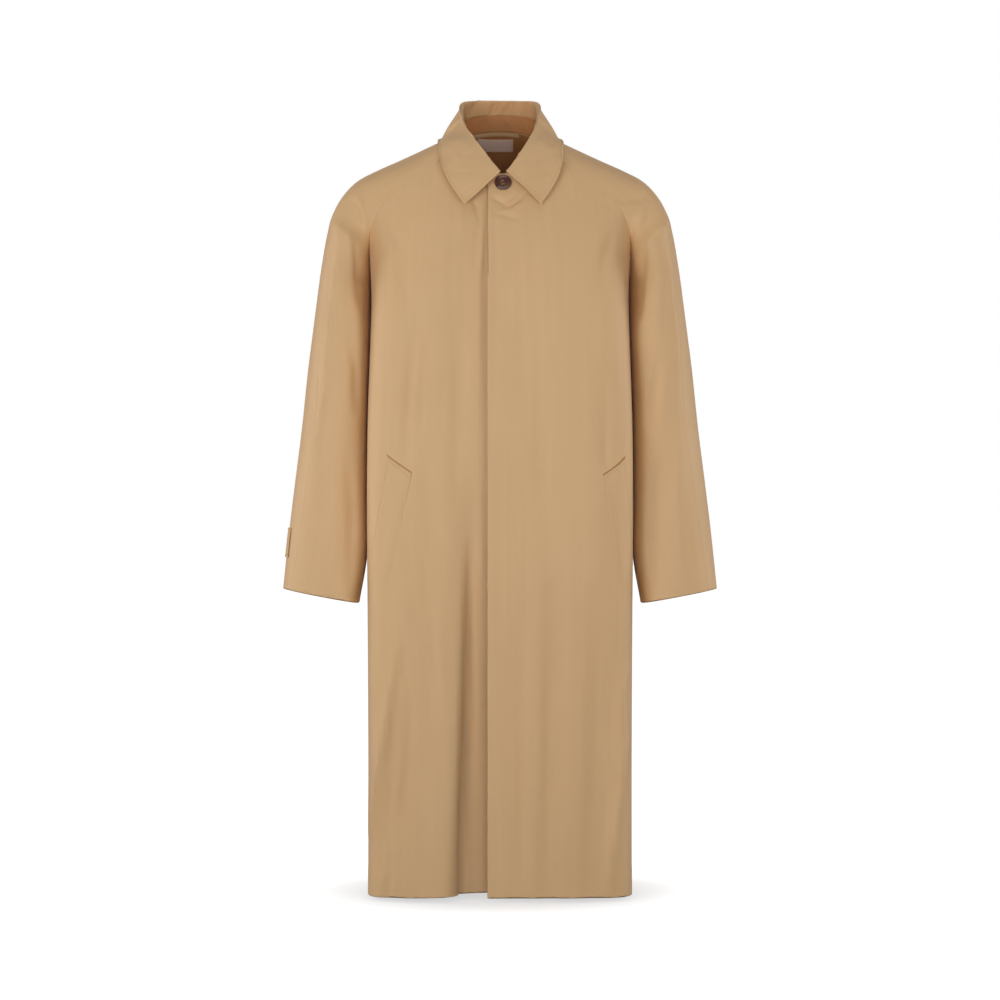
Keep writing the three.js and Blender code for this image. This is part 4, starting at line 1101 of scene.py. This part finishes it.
def stitch_row(points, normals, length=None):
    """Single stitches in a row along a line, half sunk in the cloth."""
    sewing = bpy.context.scene.coat_sewing
    length = length or sewing.stitch_length / MM
    radius = sewing.thread_width / MM / 2
    run = np.concatenate([[0], np.cumsum(np.linalg.norm(np.diff(points, axis=0), axis=1))])
    count = max(1, round(run[-1] / length))
    for n in range(count):
        places = (n + 0.08 + 0.84 * np.array([along for along, _, _ in STITCH_SHAPE])) * run[-1] / count
        line = np.stack([np.interp(places, run, points[:, a]) for a in range(3)], -1)
        out = np.stack([np.interp(places, run, normals[:, a]) for a in range(3)], -1)
        lift = np.array([rise for _, rise, _ in STITCH_SHAPE]) * radius
        yield tube(line + out * lift[:, None], radius * np.array([size for _, _, size in STITCH_SHAPE]), 5)


def sewing_on(sheet, sides, inset=None):
    """Rows of stitches along some edges of a sheet, as one piece."""
    inset = inset or bpy.context.scene.coat_sewing.edge_inset / MM
    rows = [part for side in sides for part in stitch_row(*inset_line(sheet, side, inset))]
    return thread_piece(f"{sheet.name}_stitches", rows)


def thread_piece(name, rows):
    """Thread as a piece of its own."""
    return declare(make_object(name, *joined(rows), thread_material()), None)


# Materials
def linear(colour):
    """Blender's linear colour from an sRGB hex value."""
    parts = [int(colour[i : i + 2], 16) / 255 for i in (1, 3, 5)]
    return (*(c / 12.92 if c <= 0.04045 else ((c + 0.055) / 1.055) ** 2.4 for c in parts), 1)


def add(tree, kind, inputs=None, **settings):
    """Adds a node with its settings, values and links."""
    node = tree.nodes.new(kind)
    for name, value in settings.items():
        setattr(node, name, value)
    for name, value in (inputs or {}).items():
        if isinstance(value, bpy.types.NodeSocket):
            tree.links.new(value, node.inputs[name])
        else:
            node.inputs[name].default_value = value
    return node


def new_material(name):
    """An empty node material."""
    material = bpy.data.materials.new(name)
    material.use_nodes = True
    material.node_tree.nodes.clear()
    return material, material.node_tree


def finish_material(tree, inputs):
    """The surface and output of a material."""
    surface = add(tree, "ShaderNodeBsdfPrincipled", inputs)
    add(tree, "ShaderNodeOutputMaterial", {"Surface": surface.outputs["BSDF"]})


def ramp(tree, factor, stops):
    """A colour ramp through stops of a place and a linear colour."""
    node = add(tree, "ShaderNodeValToRGB", {"Fac": factor})
    while len(node.color_ramp.elements) < len(stops):
        node.color_ramp.elements.new(0.5)
    for element, (place, colour) in zip(node.color_ramp.elements, stops):
        element.position, element.color = place, colour
    return node.outputs["Color"]


@functools.cache
def gabardine_material():
    """Cotton gabardine, woven in a steep fine twill and pressed."""
    cloth, colours = bpy.context.scene.coat_cloth, bpy.context.scene.coat_colours
    material, tree = new_material("Cotton gabardine, beige, steep twill")
    flat = add(tree, "ShaderNodeUVMap", uv_map="flat").outputs["UV"]
    place = add(tree, "ShaderNodeTexCoord").outputs["Object"]
    # Long faint streaks where yarns differ, about 11 mm wide and drawn out along the warp
    streaks = add(tree, "ShaderNodeMapping", {"Vector": flat, "Scale": (90, 3, 1)})
    warp = add(tree, "ShaderNodeTexNoise", {
        "Vector": streaks.outputs["Vector"], "Scale": 1.0, "Detail": 3.0,
    })
    clouds = add(tree, "ShaderNodeTexNoise", {"Vector": place, "Scale": 7.0, "Detail": 2.0})
    both = add(tree, "ShaderNodeMath", {0: warp.outputs["Fac"], 1: clouds.outputs["Fac"]}, operation="ADD")
    half = add(tree, "ShaderNodeMath", {0: both.outputs["Value"], 1: 0.5}, operation="MULTIPLY")
    shades = [(0.36, colours.cloth_darker), (0.5, colours.cloth), (0.64, colours.cloth_lighter)]
    shade = ramp(tree, half.outputs["Value"], shades)
    # Painted shade: a darker, warmer colour, mixed in by a share carried on each point, stands for the
    # shade inside the coat, on the collar's inside band and in the pocket slits
    reverse = add(tree, "ShaderNodeAttribute", attribute_name="reverse").outputs["Fac"]
    shade = add(tree, "ShaderNodeMix", {
        "Factor": reverse, 6: shade, 7: colours.reverse,
    }, data_type="RGBA").outputs[2]
    # Twill ridges 0.6 mm apart, real size, climbing steeply across the warp
    turned = add(tree, "ShaderNodeMapping", {"Vector": flat, "Rotation": (0, 0, -TWILL_TURN)})
    ridges = add(tree, "ShaderNodeTexWave", {
        "Vector": turned.outputs["Vector"], "Scale": WAVE_SCALE / cloth.twill_pitch,
        "Distortion": 0.4, "Detail": 1.0, "Detail Scale": 2.0,
    }, wave_type="BANDS", bands_direction="X")
    nap = add(tree, "ShaderNodeTexNoise", {"Vector": place, "Scale": 420.0, "Detail": 2.0})
    height = add(tree, "ShaderNodeMath", {0: ridges.outputs["Fac"], 1: nap.outputs["Fac"]}, operation="ADD")
    bump = add(tree, "ShaderNodeBump", {
        "Height": height.outputs["Value"], "Strength": 0.35, "Distance": 0.00012,
    })
    finish_material(tree, {
        "Base Color": shade, "Normal": bump.outputs["Normal"],
        "Roughness": 0.6, "Specular IOR Level": 0.55,
        "Sheen Weight": 0.3, "Sheen Roughness": 0.28, "Sheen Tint": linear("#f4d9d6"),
    })
    return material


@functools.cache
def thread_material():
    """Polyester sewing thread, spun and dyed to match, a little paler and shinier than the cloth."""
    material, tree = new_material("Spun polyester thread, beige")
    place = add(tree, "ShaderNodeTexCoord").outputs["Object"]
    # Twist of the plies, 0.5 mm a turn
    twist = add(tree, "ShaderNodeTexWave", {
        "Vector": place, "Scale": WAVE_SCALE / 0.0005, "Distortion": 1.0,
    }, wave_type="BANDS", bands_direction="DIAGONAL")
    colours = bpy.context.scene.coat_colours
    shade = ramp(tree, twist.outputs["Fac"], [(0.2, colours.thread_dark), (0.8, colours.thread_light)])
    finish_material(tree, {
        "Base Color": shade, "Roughness": 0.5, "Specular IOR Level": 0.45,
        "Sheen Weight": 0.2, "Sheen Roughness": 0.4,
    })
    return material


@functools.cache
def horn_material():
    """Polyester resin cast to look like horn, turned and polished: mottled, with a clear gloss."""
    material, tree = new_material("Cast polyester horn, polished")
    place = add(tree, "ShaderNodeTexCoord").outputs["Object"]
    # Patches about 6 mm across, with streaks about 1 mm wide
    patches = add(tree, "ShaderNodeTexNoise", {
        "Vector": place, "Scale": 160.0, "Detail": 2.0, "Distortion": 0.8,
    })
    colours = bpy.context.scene.coat_colours
    shade = ramp(tree, patches.outputs["Fac"], [
        (0.3, colours.horn_dark), (0.5, colours.horn), (0.62, colours.horn_olive), (0.75, colours.horn),
    ])
    stretched = add(tree, "ShaderNodeMapping", {"Vector": place, "Scale": (1, 1, 4)})
    streaks = add(tree, "ShaderNodeTexNoise", {
        "Vector": stretched.outputs["Vector"], "Scale": 260.0, "Detail": 3.0,
    })
    rough = add(tree, "ShaderNodeMapRange", {
        "Value": streaks.outputs["Fac"], "To Min": 0.2, "To Max": 0.34,
    })
    bump = add(tree, "ShaderNodeBump", {
        "Height": streaks.outputs["Fac"], "Strength": 0.1, "Distance": 0.0001,
    })
    finish_material(tree, {
        "Base Color": shade, "Roughness": rough.outputs["Result"], "Normal": bump.outputs["Normal"],
        "IOR": 1.55, "Coat Weight": 0.4, "Coat Roughness": 0.12,
    })
    return material


@functools.cache
def label_material():
    """Woven satin label tape, blank: close weft threads with a soft shine."""
    material, tree = new_material("Woven polyester label tape, blank")
    flat = add(tree, "ShaderNodeUVMap", uv_map="flat").outputs["UV"]
    # Weft threads 0.4 mm apart
    weft = add(tree, "ShaderNodeTexWave", {
        "Vector": flat, "Scale": WAVE_SCALE / 0.0004, "Distortion": 0.2,
    }, wave_type="BANDS", bands_direction="Y")
    fibres = add(tree, "ShaderNodeTexNoise", {"Vector": flat, "Scale": 900.0, "Detail": 2.0})
    colours = bpy.context.scene.coat_colours
    shade = ramp(tree, fibres.outputs["Fac"], [(0.35, colours.label_dark), (0.65, colours.label_light)])
    bump = add(tree, "ShaderNodeBump", {"Height": weft.outputs["Fac"], "Strength": 0.4, "Distance": 0.0001})
    finish_material(tree, {
        "Base Color": shade, "Normal": bump.outputs["Normal"], "Roughness": 0.5,
        "Sheen Weight": 0.3, "Sheen Roughness": 0.35,
    })
    return material


@functools.cache
def floor_shadow_pool_material():
    """Opal acrylic sheet, cast and matt, glowing as if lit from below, with a painted shadow: the glow dims
    to a soft pool round the coat's hem.
    """
    material, tree = new_material("Opal acrylic, white, lit from below")
    place = add(tree, "ShaderNodeTexCoord").outputs["Object"]
    oval = add(tree, "ShaderNodeMapping", {"Vector": place, "Scale": (0.85, 1, 1)})
    away = add(tree, "ShaderNodeVectorMath", {
        0: oval.outputs["Vector"], 1: (0, 0, 0),
    }, operation="DISTANCE")
    # Painted shadow: the glow is dimmer within about 0.3 m of the middle, in a slight oval
    shadow_pool_glow = add(tree, "ShaderNodeMapRange", {
        "Value": away.outputs["Value"], "From Min": 0.13, "From Max": 0.31,
        "To Min": 0.62, "To Max": 1.0,
    }, interpolation_type="SMOOTHSTEP")
    finish_material(tree, {
        "Base Color": linear("#9c9c9c"), "Roughness": 0.95, "Specular IOR Level": 0.1,
        "Emission Color": (1, 1, 1, 1), "Emission Strength": shadow_pool_glow.outputs["Result"],
    })
    return material


# Buttons
def turned_disc(profile, across, thick):
    """Vertices and faces of a turned button, standing on its own back along +Z."""
    turn = np.arange(BUTTON_SEGMENTS) * 2 * math.pi / BUTTON_SEGMENTS
    rings = []
    for out, up in profile:
        radius = out * across / 2
        rings.append(stack(radius * np.cos(turn), radius * np.sin(turn), up * thick))
    index = np.arange(len(profile) * BUTTON_SEGMENTS).reshape(len(profile), -1)
    nextto = np.roll(index, -1, axis=1)
    faces = np.stack([index[:-1], nextto[:-1], nextto[1:], index[1:]], -1).reshape(-1, 4).tolist()
    return np.concatenate(rings), [*faces, index[0][::-1].tolist(), index[-1].tolist()]


def button(node, seat, outward, across, thick, turn):
    """A four-hole button with its thread, sewn on at a seat and facing outward."""
    vertices, faces = turned_disc(BUTTON_PROFILE, across, thick)
    disc = make_object(f"{node}_horn", vertices, faces, horn_material())
    angles = math.pi / 4 + np.arange(4) * math.pi / 2
    spots = np.stack([np.cos(angles), np.sin(angles)], -1) * across * HOLE_SPREAD
    drill = []
    for x, y in spots:
        drill.append(tube([(x, y, -1), (x, y, thick + 1)], [across * HOLE_ACROSS / 2] * 2, 20))
    cutter = make_object(f"{node}_drill", *joined(drill), horn_material())
    cut = disc.modifiers.new("holes", "BOOLEAN")
    cut.object, cut.operation, cut.solver = cutter, "DIFFERENCE", "EXACT"
    drilled = bpy.data.meshes.new_from_object(disc.evaluated_get(bpy.context.evaluated_depsgraph_get()))
    disc.modifiers.remove(cut)
    disc.data = drilled
    bpy.data.objects.remove(cutter)
    for polygon in drilled.polygons:
        polygon.use_smooth = True
    drilled.set_sharp_from_angle(angle=math.radians(50))
    threads = []
    top = thick * 0.72
    for a, b in ((0, 1), (3, 2)):
        for shift in THREAD_SPREAD:
            start, end = (np.array([*spots[i], 0]) for i in (a, b))
            side = unit(np.cross(end - start, [0, 0, 1])) * shift
            bow = [(0, 0.3), (0, top), (0.5, top + 0.35), (1, top), (1, 0.3)]
            path = [mix(start, end, t) + side + [0, 0, z] for t, z in bow]
            threads.append(tube(path, [THREAD_ROUND] * len(path), 6))
    sewn = thread_piece(f"{node}_thread", threads)
    facing = Vector(outward).to_track_quat("Z", "Y") @ Quaternion((0, 0, 1), turn)
    place = Matrix.LocRotScale(Vector(seat) * MM, facing, None)
    for obj in (disc, sewn):
        obj.data.transform(place)
    return declare(disc, node)


def neck_seat(x, z, across):
    """Seat and outward direction of the collar button on the top front."""
    angle = angle_at(FRONT_FORM, x, z)
    seat, high, low = (front_point(1, angle, np.array(z + d)) for d in (0, across / 3, -across / 3))
    outward = unit(np.cross([1, 0, 0], high - low))
    return seat + outward * LAY_GAP, outward


def tab_seat(side, round_, along):
    """Seat and outward direction of a tab's button."""
    near = 0.02
    seat = sleeve_point(side, round_, along)
    across = sleeve_point(side, round_ + near, along) - sleeve_point(side, round_ - near, along)
    outward = unit(np.cross(across, sleeve_point(side, round_, along + near / 2) - seat))
    outward = outward * math.copysign(1, outward[0])
    seat = seat + outward * (TAB_LIFT + TAB_SEAT)
    return on_side(side, seat), on_side(side, outward)


# What a user would change
def colour(name, description, value):
    """A colour setting with an sRGB hex value as its default."""
    return FloatVectorProperty(
        name=name, description=description, default=linear(value), size=4, min=0, max=1, subtype="COLOR"
    )


class CoatColours(bpy.types.PropertyGroup):
    """Colours of the cloth, thread, buttons and label."""

    cloth: colour("Cloth", "Mean colour of the cloth", "#d9b180")
    cloth_darker: colour("Cloth, darker", "Darker yarns of the cloth", "#d7af7e")
    cloth_lighter: colour("Cloth, lighter", "Lighter yarns of the cloth", "#dbb382")
    # Darker, warmer colour painted as shade on the inside of the coat, on the collar's inside band and in
    # the pocket slits
    reverse: colour("Reverse", "Inside of the cloth", "#bd7c42")
    thread_dark: colour("Thread, dark", "Thread between its plies", "#b8946c")
    thread_light: colour("Thread, light", "Plies of the thread", "#d2b18b")
    horn: colour("Horn", "Main colour of the buttons", "#613529")
    horn_dark: colour("Horn, dark", "Dark patches of the buttons", "#331d18")
    horn_olive: colour("Horn, olive", "Olive patches of the buttons", "#5d4a2c")
    label_light: colour("Label, light", "Lighter fibres of the label", "#ffe0cc")
    label_dark: colour("Label, dark", "Darker fibres of the label", "#f4ccb8")


class CoatCloth(bpy.types.PropertyGroup):
    """Sizes of the cloth."""

    crease_depth: FloatProperty(
        name="Crease depth", description="Depth of the creases, as a share of the worn coat's",
        default=1, min=0, max=2, subtype="FACTOR",
    )
    twill_pitch: FloatProperty(
        name="Twill pitch", description="Distance between twill ridges",
        default=0.0006, unit="LENGTH", precision=5,
    )
    hem_depth: FloatProperty(
        name="Hem depth", description="Height of the turned hem", default=0.04, unit="LENGTH"
    )


class CoatSewing(bpy.types.PropertyGroup):
    """Sizes of the sewing."""

    stitch_length: FloatProperty(
        name="Stitch length", description="Length of one edge stitch",
        default=0.003, unit="LENGTH", precision=4,
    )
    thread_width: FloatProperty(
        name="Thread width", description="Width of the thread",
        default=0.00045, unit="LENGTH", precision=5,
    )
    edge_inset: FloatProperty(
        name="Edge inset", description="Distance of edge stitches from the edge",
        default=0.005, unit="LENGTH", precision=4,
    )


class CoatButtons(bpy.types.PropertyGroup):
    """Sizes and places of the buttons."""

    neck_across: FloatProperty(
        name="Collar button", description="Width of the collar button", default=0.025, unit="LENGTH"
    )
    neck_thick: FloatProperty(
        name="Collar button thickness", description="Thickness of the collar button",
        default=0.0026, unit="LENGTH", precision=4,
    )
    neck_place: FloatVectorProperty(
        name="Collar button place", description="Place of the collar button, across and up", size=2,
        default=(0.0044, -0.0765), unit="LENGTH", precision=4,
    )
    tab_across: FloatProperty(
        name="Tab buttons", description="Width of the tab buttons", default=0.018, unit="LENGTH"
    )
    tab_thick: FloatProperty(
        name="Tab button thickness", description="Thickness of the tab buttons",
        default=0.003, unit="LENGTH", precision=4,
    )


class CoatStage(bpy.types.PropertyGroup):
    """The studio."""

    front_light: FloatProperty(
        name="Front light", description="Power of each front light", default=11.5, unit="POWER"
    )
    fill_light: FloatProperty(
        name="Fill light", description="Power of the light by the camera", default=17, unit="POWER"
    )
    side_light: FloatProperty(
        name="Side lights", description="Power of each side light", default=18, unit="POWER"
    )
    back_light: FloatProperty(
        name="Back light", description="Power of the light behind the coat", default=9, unit="POWER"
    )
    top_light: FloatProperty(
        name="Top light", description="Power of the light over the coat", default=9, unit="POWER"
    )
    surround: FloatProperty(
        name="Surround", description="Brightness of the white surround", default=0.15, min=0, max=2
    )
    floor_gap: FloatProperty(
        name="Floor gap", description="Height of the hem over the floor", default=0.006, unit="LENGTH"
    )


# Operators
class COAT_OT_body(bpy.types.Operator):
    """Fronts and backs, with their turned hems and creases"""

    bl_idname = "coat.body"
    bl_label = "Fronts and backs"

    def execute(self, context):
        hem = context.scene.coat_cloth.hem_depth / MM
        for name in ("front_left", "front_right", "back_left", "back_right"):
            sheet = panels()[name]
            up = arcs(sheet.points)[1]
            rise = HEM_RISE * (1 - ease(hem - HEM_FADE, hem + HEM_FADE, up))
            sheet.points = sheet.points + sheet.normals * rise[..., None]
            dress(sheet, gabardine_material())
        return {"FINISHED"}


class COAT_OT_sleeves(bpy.types.Operator):
    """Raglan sleeves, each in two halves"""

    bl_idname = "coat.sleeves"
    bl_label = "Sleeves"

    def execute(self, context):
        for word in ("left", "right"):
            for which in ("front", "back"):
                dress(panels()[f"sleeve_{word}_{which}"], gabardine_material())
        return {"FINISHED"}


class COAT_OT_collar(bpy.types.Operator):
    """Collar stand and fall, with the edge stitching of the leaves"""

    bl_idname = "coat.collar"
    bl_label = "Collar"

    def execute(self, context):
        stand = stand_sheet()
        fall = fall_sheet(stand)
        dress(stand, gabardine_material())
        dress(fall, gabardine_material(), with_pieces=[sewing_on(fall, "lrt")])
        return {"FINISHED"}


class COAT_OT_pockets(bpy.types.Operator):
    """Slanted pocket welts with edge stitching"""

    bl_idname = "coat.pockets"
    bl_label = "Pocket welts"

    def execute(self, context):
        for row in WELTS:
            welt = welt_sheet(*row)
            dress(welt, gabardine_material(), with_pieces=[sewing_on(welt, "lrbt"), pocket_slit_shadow(welt)])
        return {"FINISHED"}


class COAT_OT_tabs(bpy.types.Operator):
    """Sleeve tabs with edge stitching"""

    bl_idname = "coat.tabs"
    bl_label = "Sleeve tabs"

    def execute(self, context):
        for row in TABS:
            tab = tab_sheet(*row)
            dress(tab, gabardine_material(), with_pieces=[sewing_on(tab, "lrbt")])
        return {"FINISHED"}


class COAT_OT_inside_trims(bpy.types.Operator):
    """Blank label and hanger loop inside the back neck"""

    bl_idname = "coat.inside_trims"
    bl_label = "Label and hanger loop"

    def execute(self, context):
        v, w = spaced(14, 18, near=(1.2, 2.2))[:, None], spaced(30, 54, near=(1.2, 2.2))[None]
        x, z = mix(LABEL["left"], LABEL["right"], w), mix(LABEL["bottom"], LABEL["top"], v)
        label = inside_back("label", x, z, 0, LABEL["inward"])
        rows = [part for side in "lr" for part in stitch_row(*inset_line(label, side, 2.0), 1.8)]
        dress(label, label_material(), [thread_piece("label_stitches", rows)])
        v, w = spaced(6, 5, near=(0.8, 1.4))[:, None], spaced(40, 70, near=(1.2, 2.4))[None]
        x = mix(LOOP["left"], LOOP["right"], w)
        seam_z = neck_back(np.abs(x) / NECK_BACK_X)[1]
        z = seam_z - LOOP["below"] - LOOP["wide"] * (1 - v)
        loop = inside_back("hanger_loop", x, z, LOOP["bow"] * np.sin(np.pi * w), LOOP["inward"])
        bars = []
        for side in "lr":
            for inset in (2.0, 2.5, 3.0, 3.5):
                bars += stitch_row(*inset_line(loop, side, inset), 1.2)
        dress(loop, gabardine_material(), with_pieces=[thread_piece("hanger_loop_bartacks", bars)])
        return {"FINISHED"}


class COAT_OT_buttons(bpy.types.Operator):
    """Horn-effect buttons, sewn on with thread"""

    bl_idname = "coat.buttons"
    bl_label = "Buttons"

    def execute(self, context):
        sizes = context.scene.coat_buttons
        across, thick = sizes.neck_across / MM, sizes.neck_thick / MM
        x, z = (value / MM for value in sizes.neck_place)
        button("collar_button", *neck_seat(x, z, across), across, thick, math.radians(20))
        for side, name, _, _, high, low, round_ in TABS:
            seat, outward = tab_seat(side, round_, (high + low) / 2)
            button(f"tab_button_{name[11:]}", seat, outward, sizes.tab_across / MM, sizes.tab_thick / MM, 0)
        return {"FINISHED"}


class COAT_OT_stage(bpy.types.Operator):
    """Pale floor, soft studio light and the camera"""

    bl_idname = "coat.stage"
    bl_label = "Floor, lights and camera"

    def execute(self, context):
        scene, settings = context.scene, context.scene.coat_stage
        level = HEM_Z - settings.floor_gap / MM
        corners = np.array([(-1, -1, 0), (1, -1, 0), (1, 1, 0), (-1, 1, 0)]) * FLOOR_HALF
        floor = make_object("floor", corners, [(0, 1, 2, 3)], floor_shadow_pool_material())
        floor.location.z = level * MM
        # Its own light goes to the picture alone, so that the coat is lit by the lamps
        floor.visible_diffuse = floor.visible_glossy = False
        for name, place, aim, size, setting, share in LAMPS:
            lamp = bpy.data.lights.new(name, "AREA")
            lamp.shape, lamp.size, lamp.size_y = "RECTANGLE", *size
            lamp.energy = getattr(settings, setting) * share
            obj = bpy.data.objects.new(name, lamp)
            obj.location, obj.visible_camera = place, False
            obj.rotation_euler = (Vector(aim) - Vector(place)).to_track_quat("-Z", "Y").to_euler()
            scene.collection.objects.link(obj)
        world = bpy.data.worlds.new("surround")
        scene.world, world.use_nodes = world, True
        tree = world.node_tree
        tree.nodes.clear()
        seen = add(tree, "ShaderNodeLightPath").outputs["Is Camera Ray"]
        strength = add(tree, "ShaderNodeMapRange", {
            "Value": seen, "To Min": settings.surround, "To Max": 1.0,
        })
        white = add(tree, "ShaderNodeBackground", {
            "Color": (1, 1, 1, 1), "Strength": strength.outputs["Result"],
        })
        add(tree, "ShaderNodeOutputWorld", {"Surface": white.outputs["Background"]})
        camera = bpy.data.cameras.new("camera")
        camera.sensor_width, camera.lens = CAMERA_SENSOR, CAMERA_LENS
        obj = bpy.data.objects.new("camera", camera)
        obj.location, obj.rotation_euler = CAMERA_PLACE, (math.pi / 2, 0, 0)
        scene.collection.objects.link(obj)
        scene.camera = obj
        scene.view_settings.view_transform = "Standard"
        return {"FINISHED"}


class COAT_PT_panel(bpy.types.Panel):
    """The coat's pieces and sizes"""

    bl_idname = "COAT_PT_panel"
    bl_label = "Coat"
    bl_space_type = "VIEW_3D"
    bl_region_type = "UI"
    bl_category = "Coat"

    def draw(self, context):
        for operator in OPERATORS:
            self.layout.operator(operator.bl_idname)
        for group in SETTINGS:
            box = self.layout.box()
            settings = getattr(context.scene, group)
            for name in settings.__annotations__:
                box.prop(settings, name)


SETTINGS = {
    "coat_colours": CoatColours, "coat_cloth": CoatCloth, "coat_sewing": CoatSewing,
    "coat_buttons": CoatButtons, "coat_stage": CoatStage,
}
OPERATORS = (
    COAT_OT_body, COAT_OT_sleeves, COAT_OT_collar, COAT_OT_pockets, COAT_OT_tabs, COAT_OT_inside_trims,
    COAT_OT_buttons, COAT_OT_stage,
)
CLASSES = (*SETTINGS.values(), *OPERATORS, COAT_PT_panel)


def register():
    """Adds the operators, the settings and the panel."""
    for cls in CLASSES:
        bpy.utils.register_class(cls)
    for name, group in SETTINGS.items():
        setattr(bpy.types.Scene, name, PointerProperty(type=group))


def unregister():
    """Takes them away again."""
    for name in SETTINGS:
        delattr(bpy.types.Scene, name)
    for cls in reversed(CLASSES):
        bpy.utils.unregister_class(cls)


def main():
    """Makes the whole dressed coat and its stage."""
    register()
    for operator in OPERATORS:
        group, name = operator.bl_idname.split(".")
        getattr(getattr(bpy.ops, group), name)()


if __name__ == "__main__":
    main()
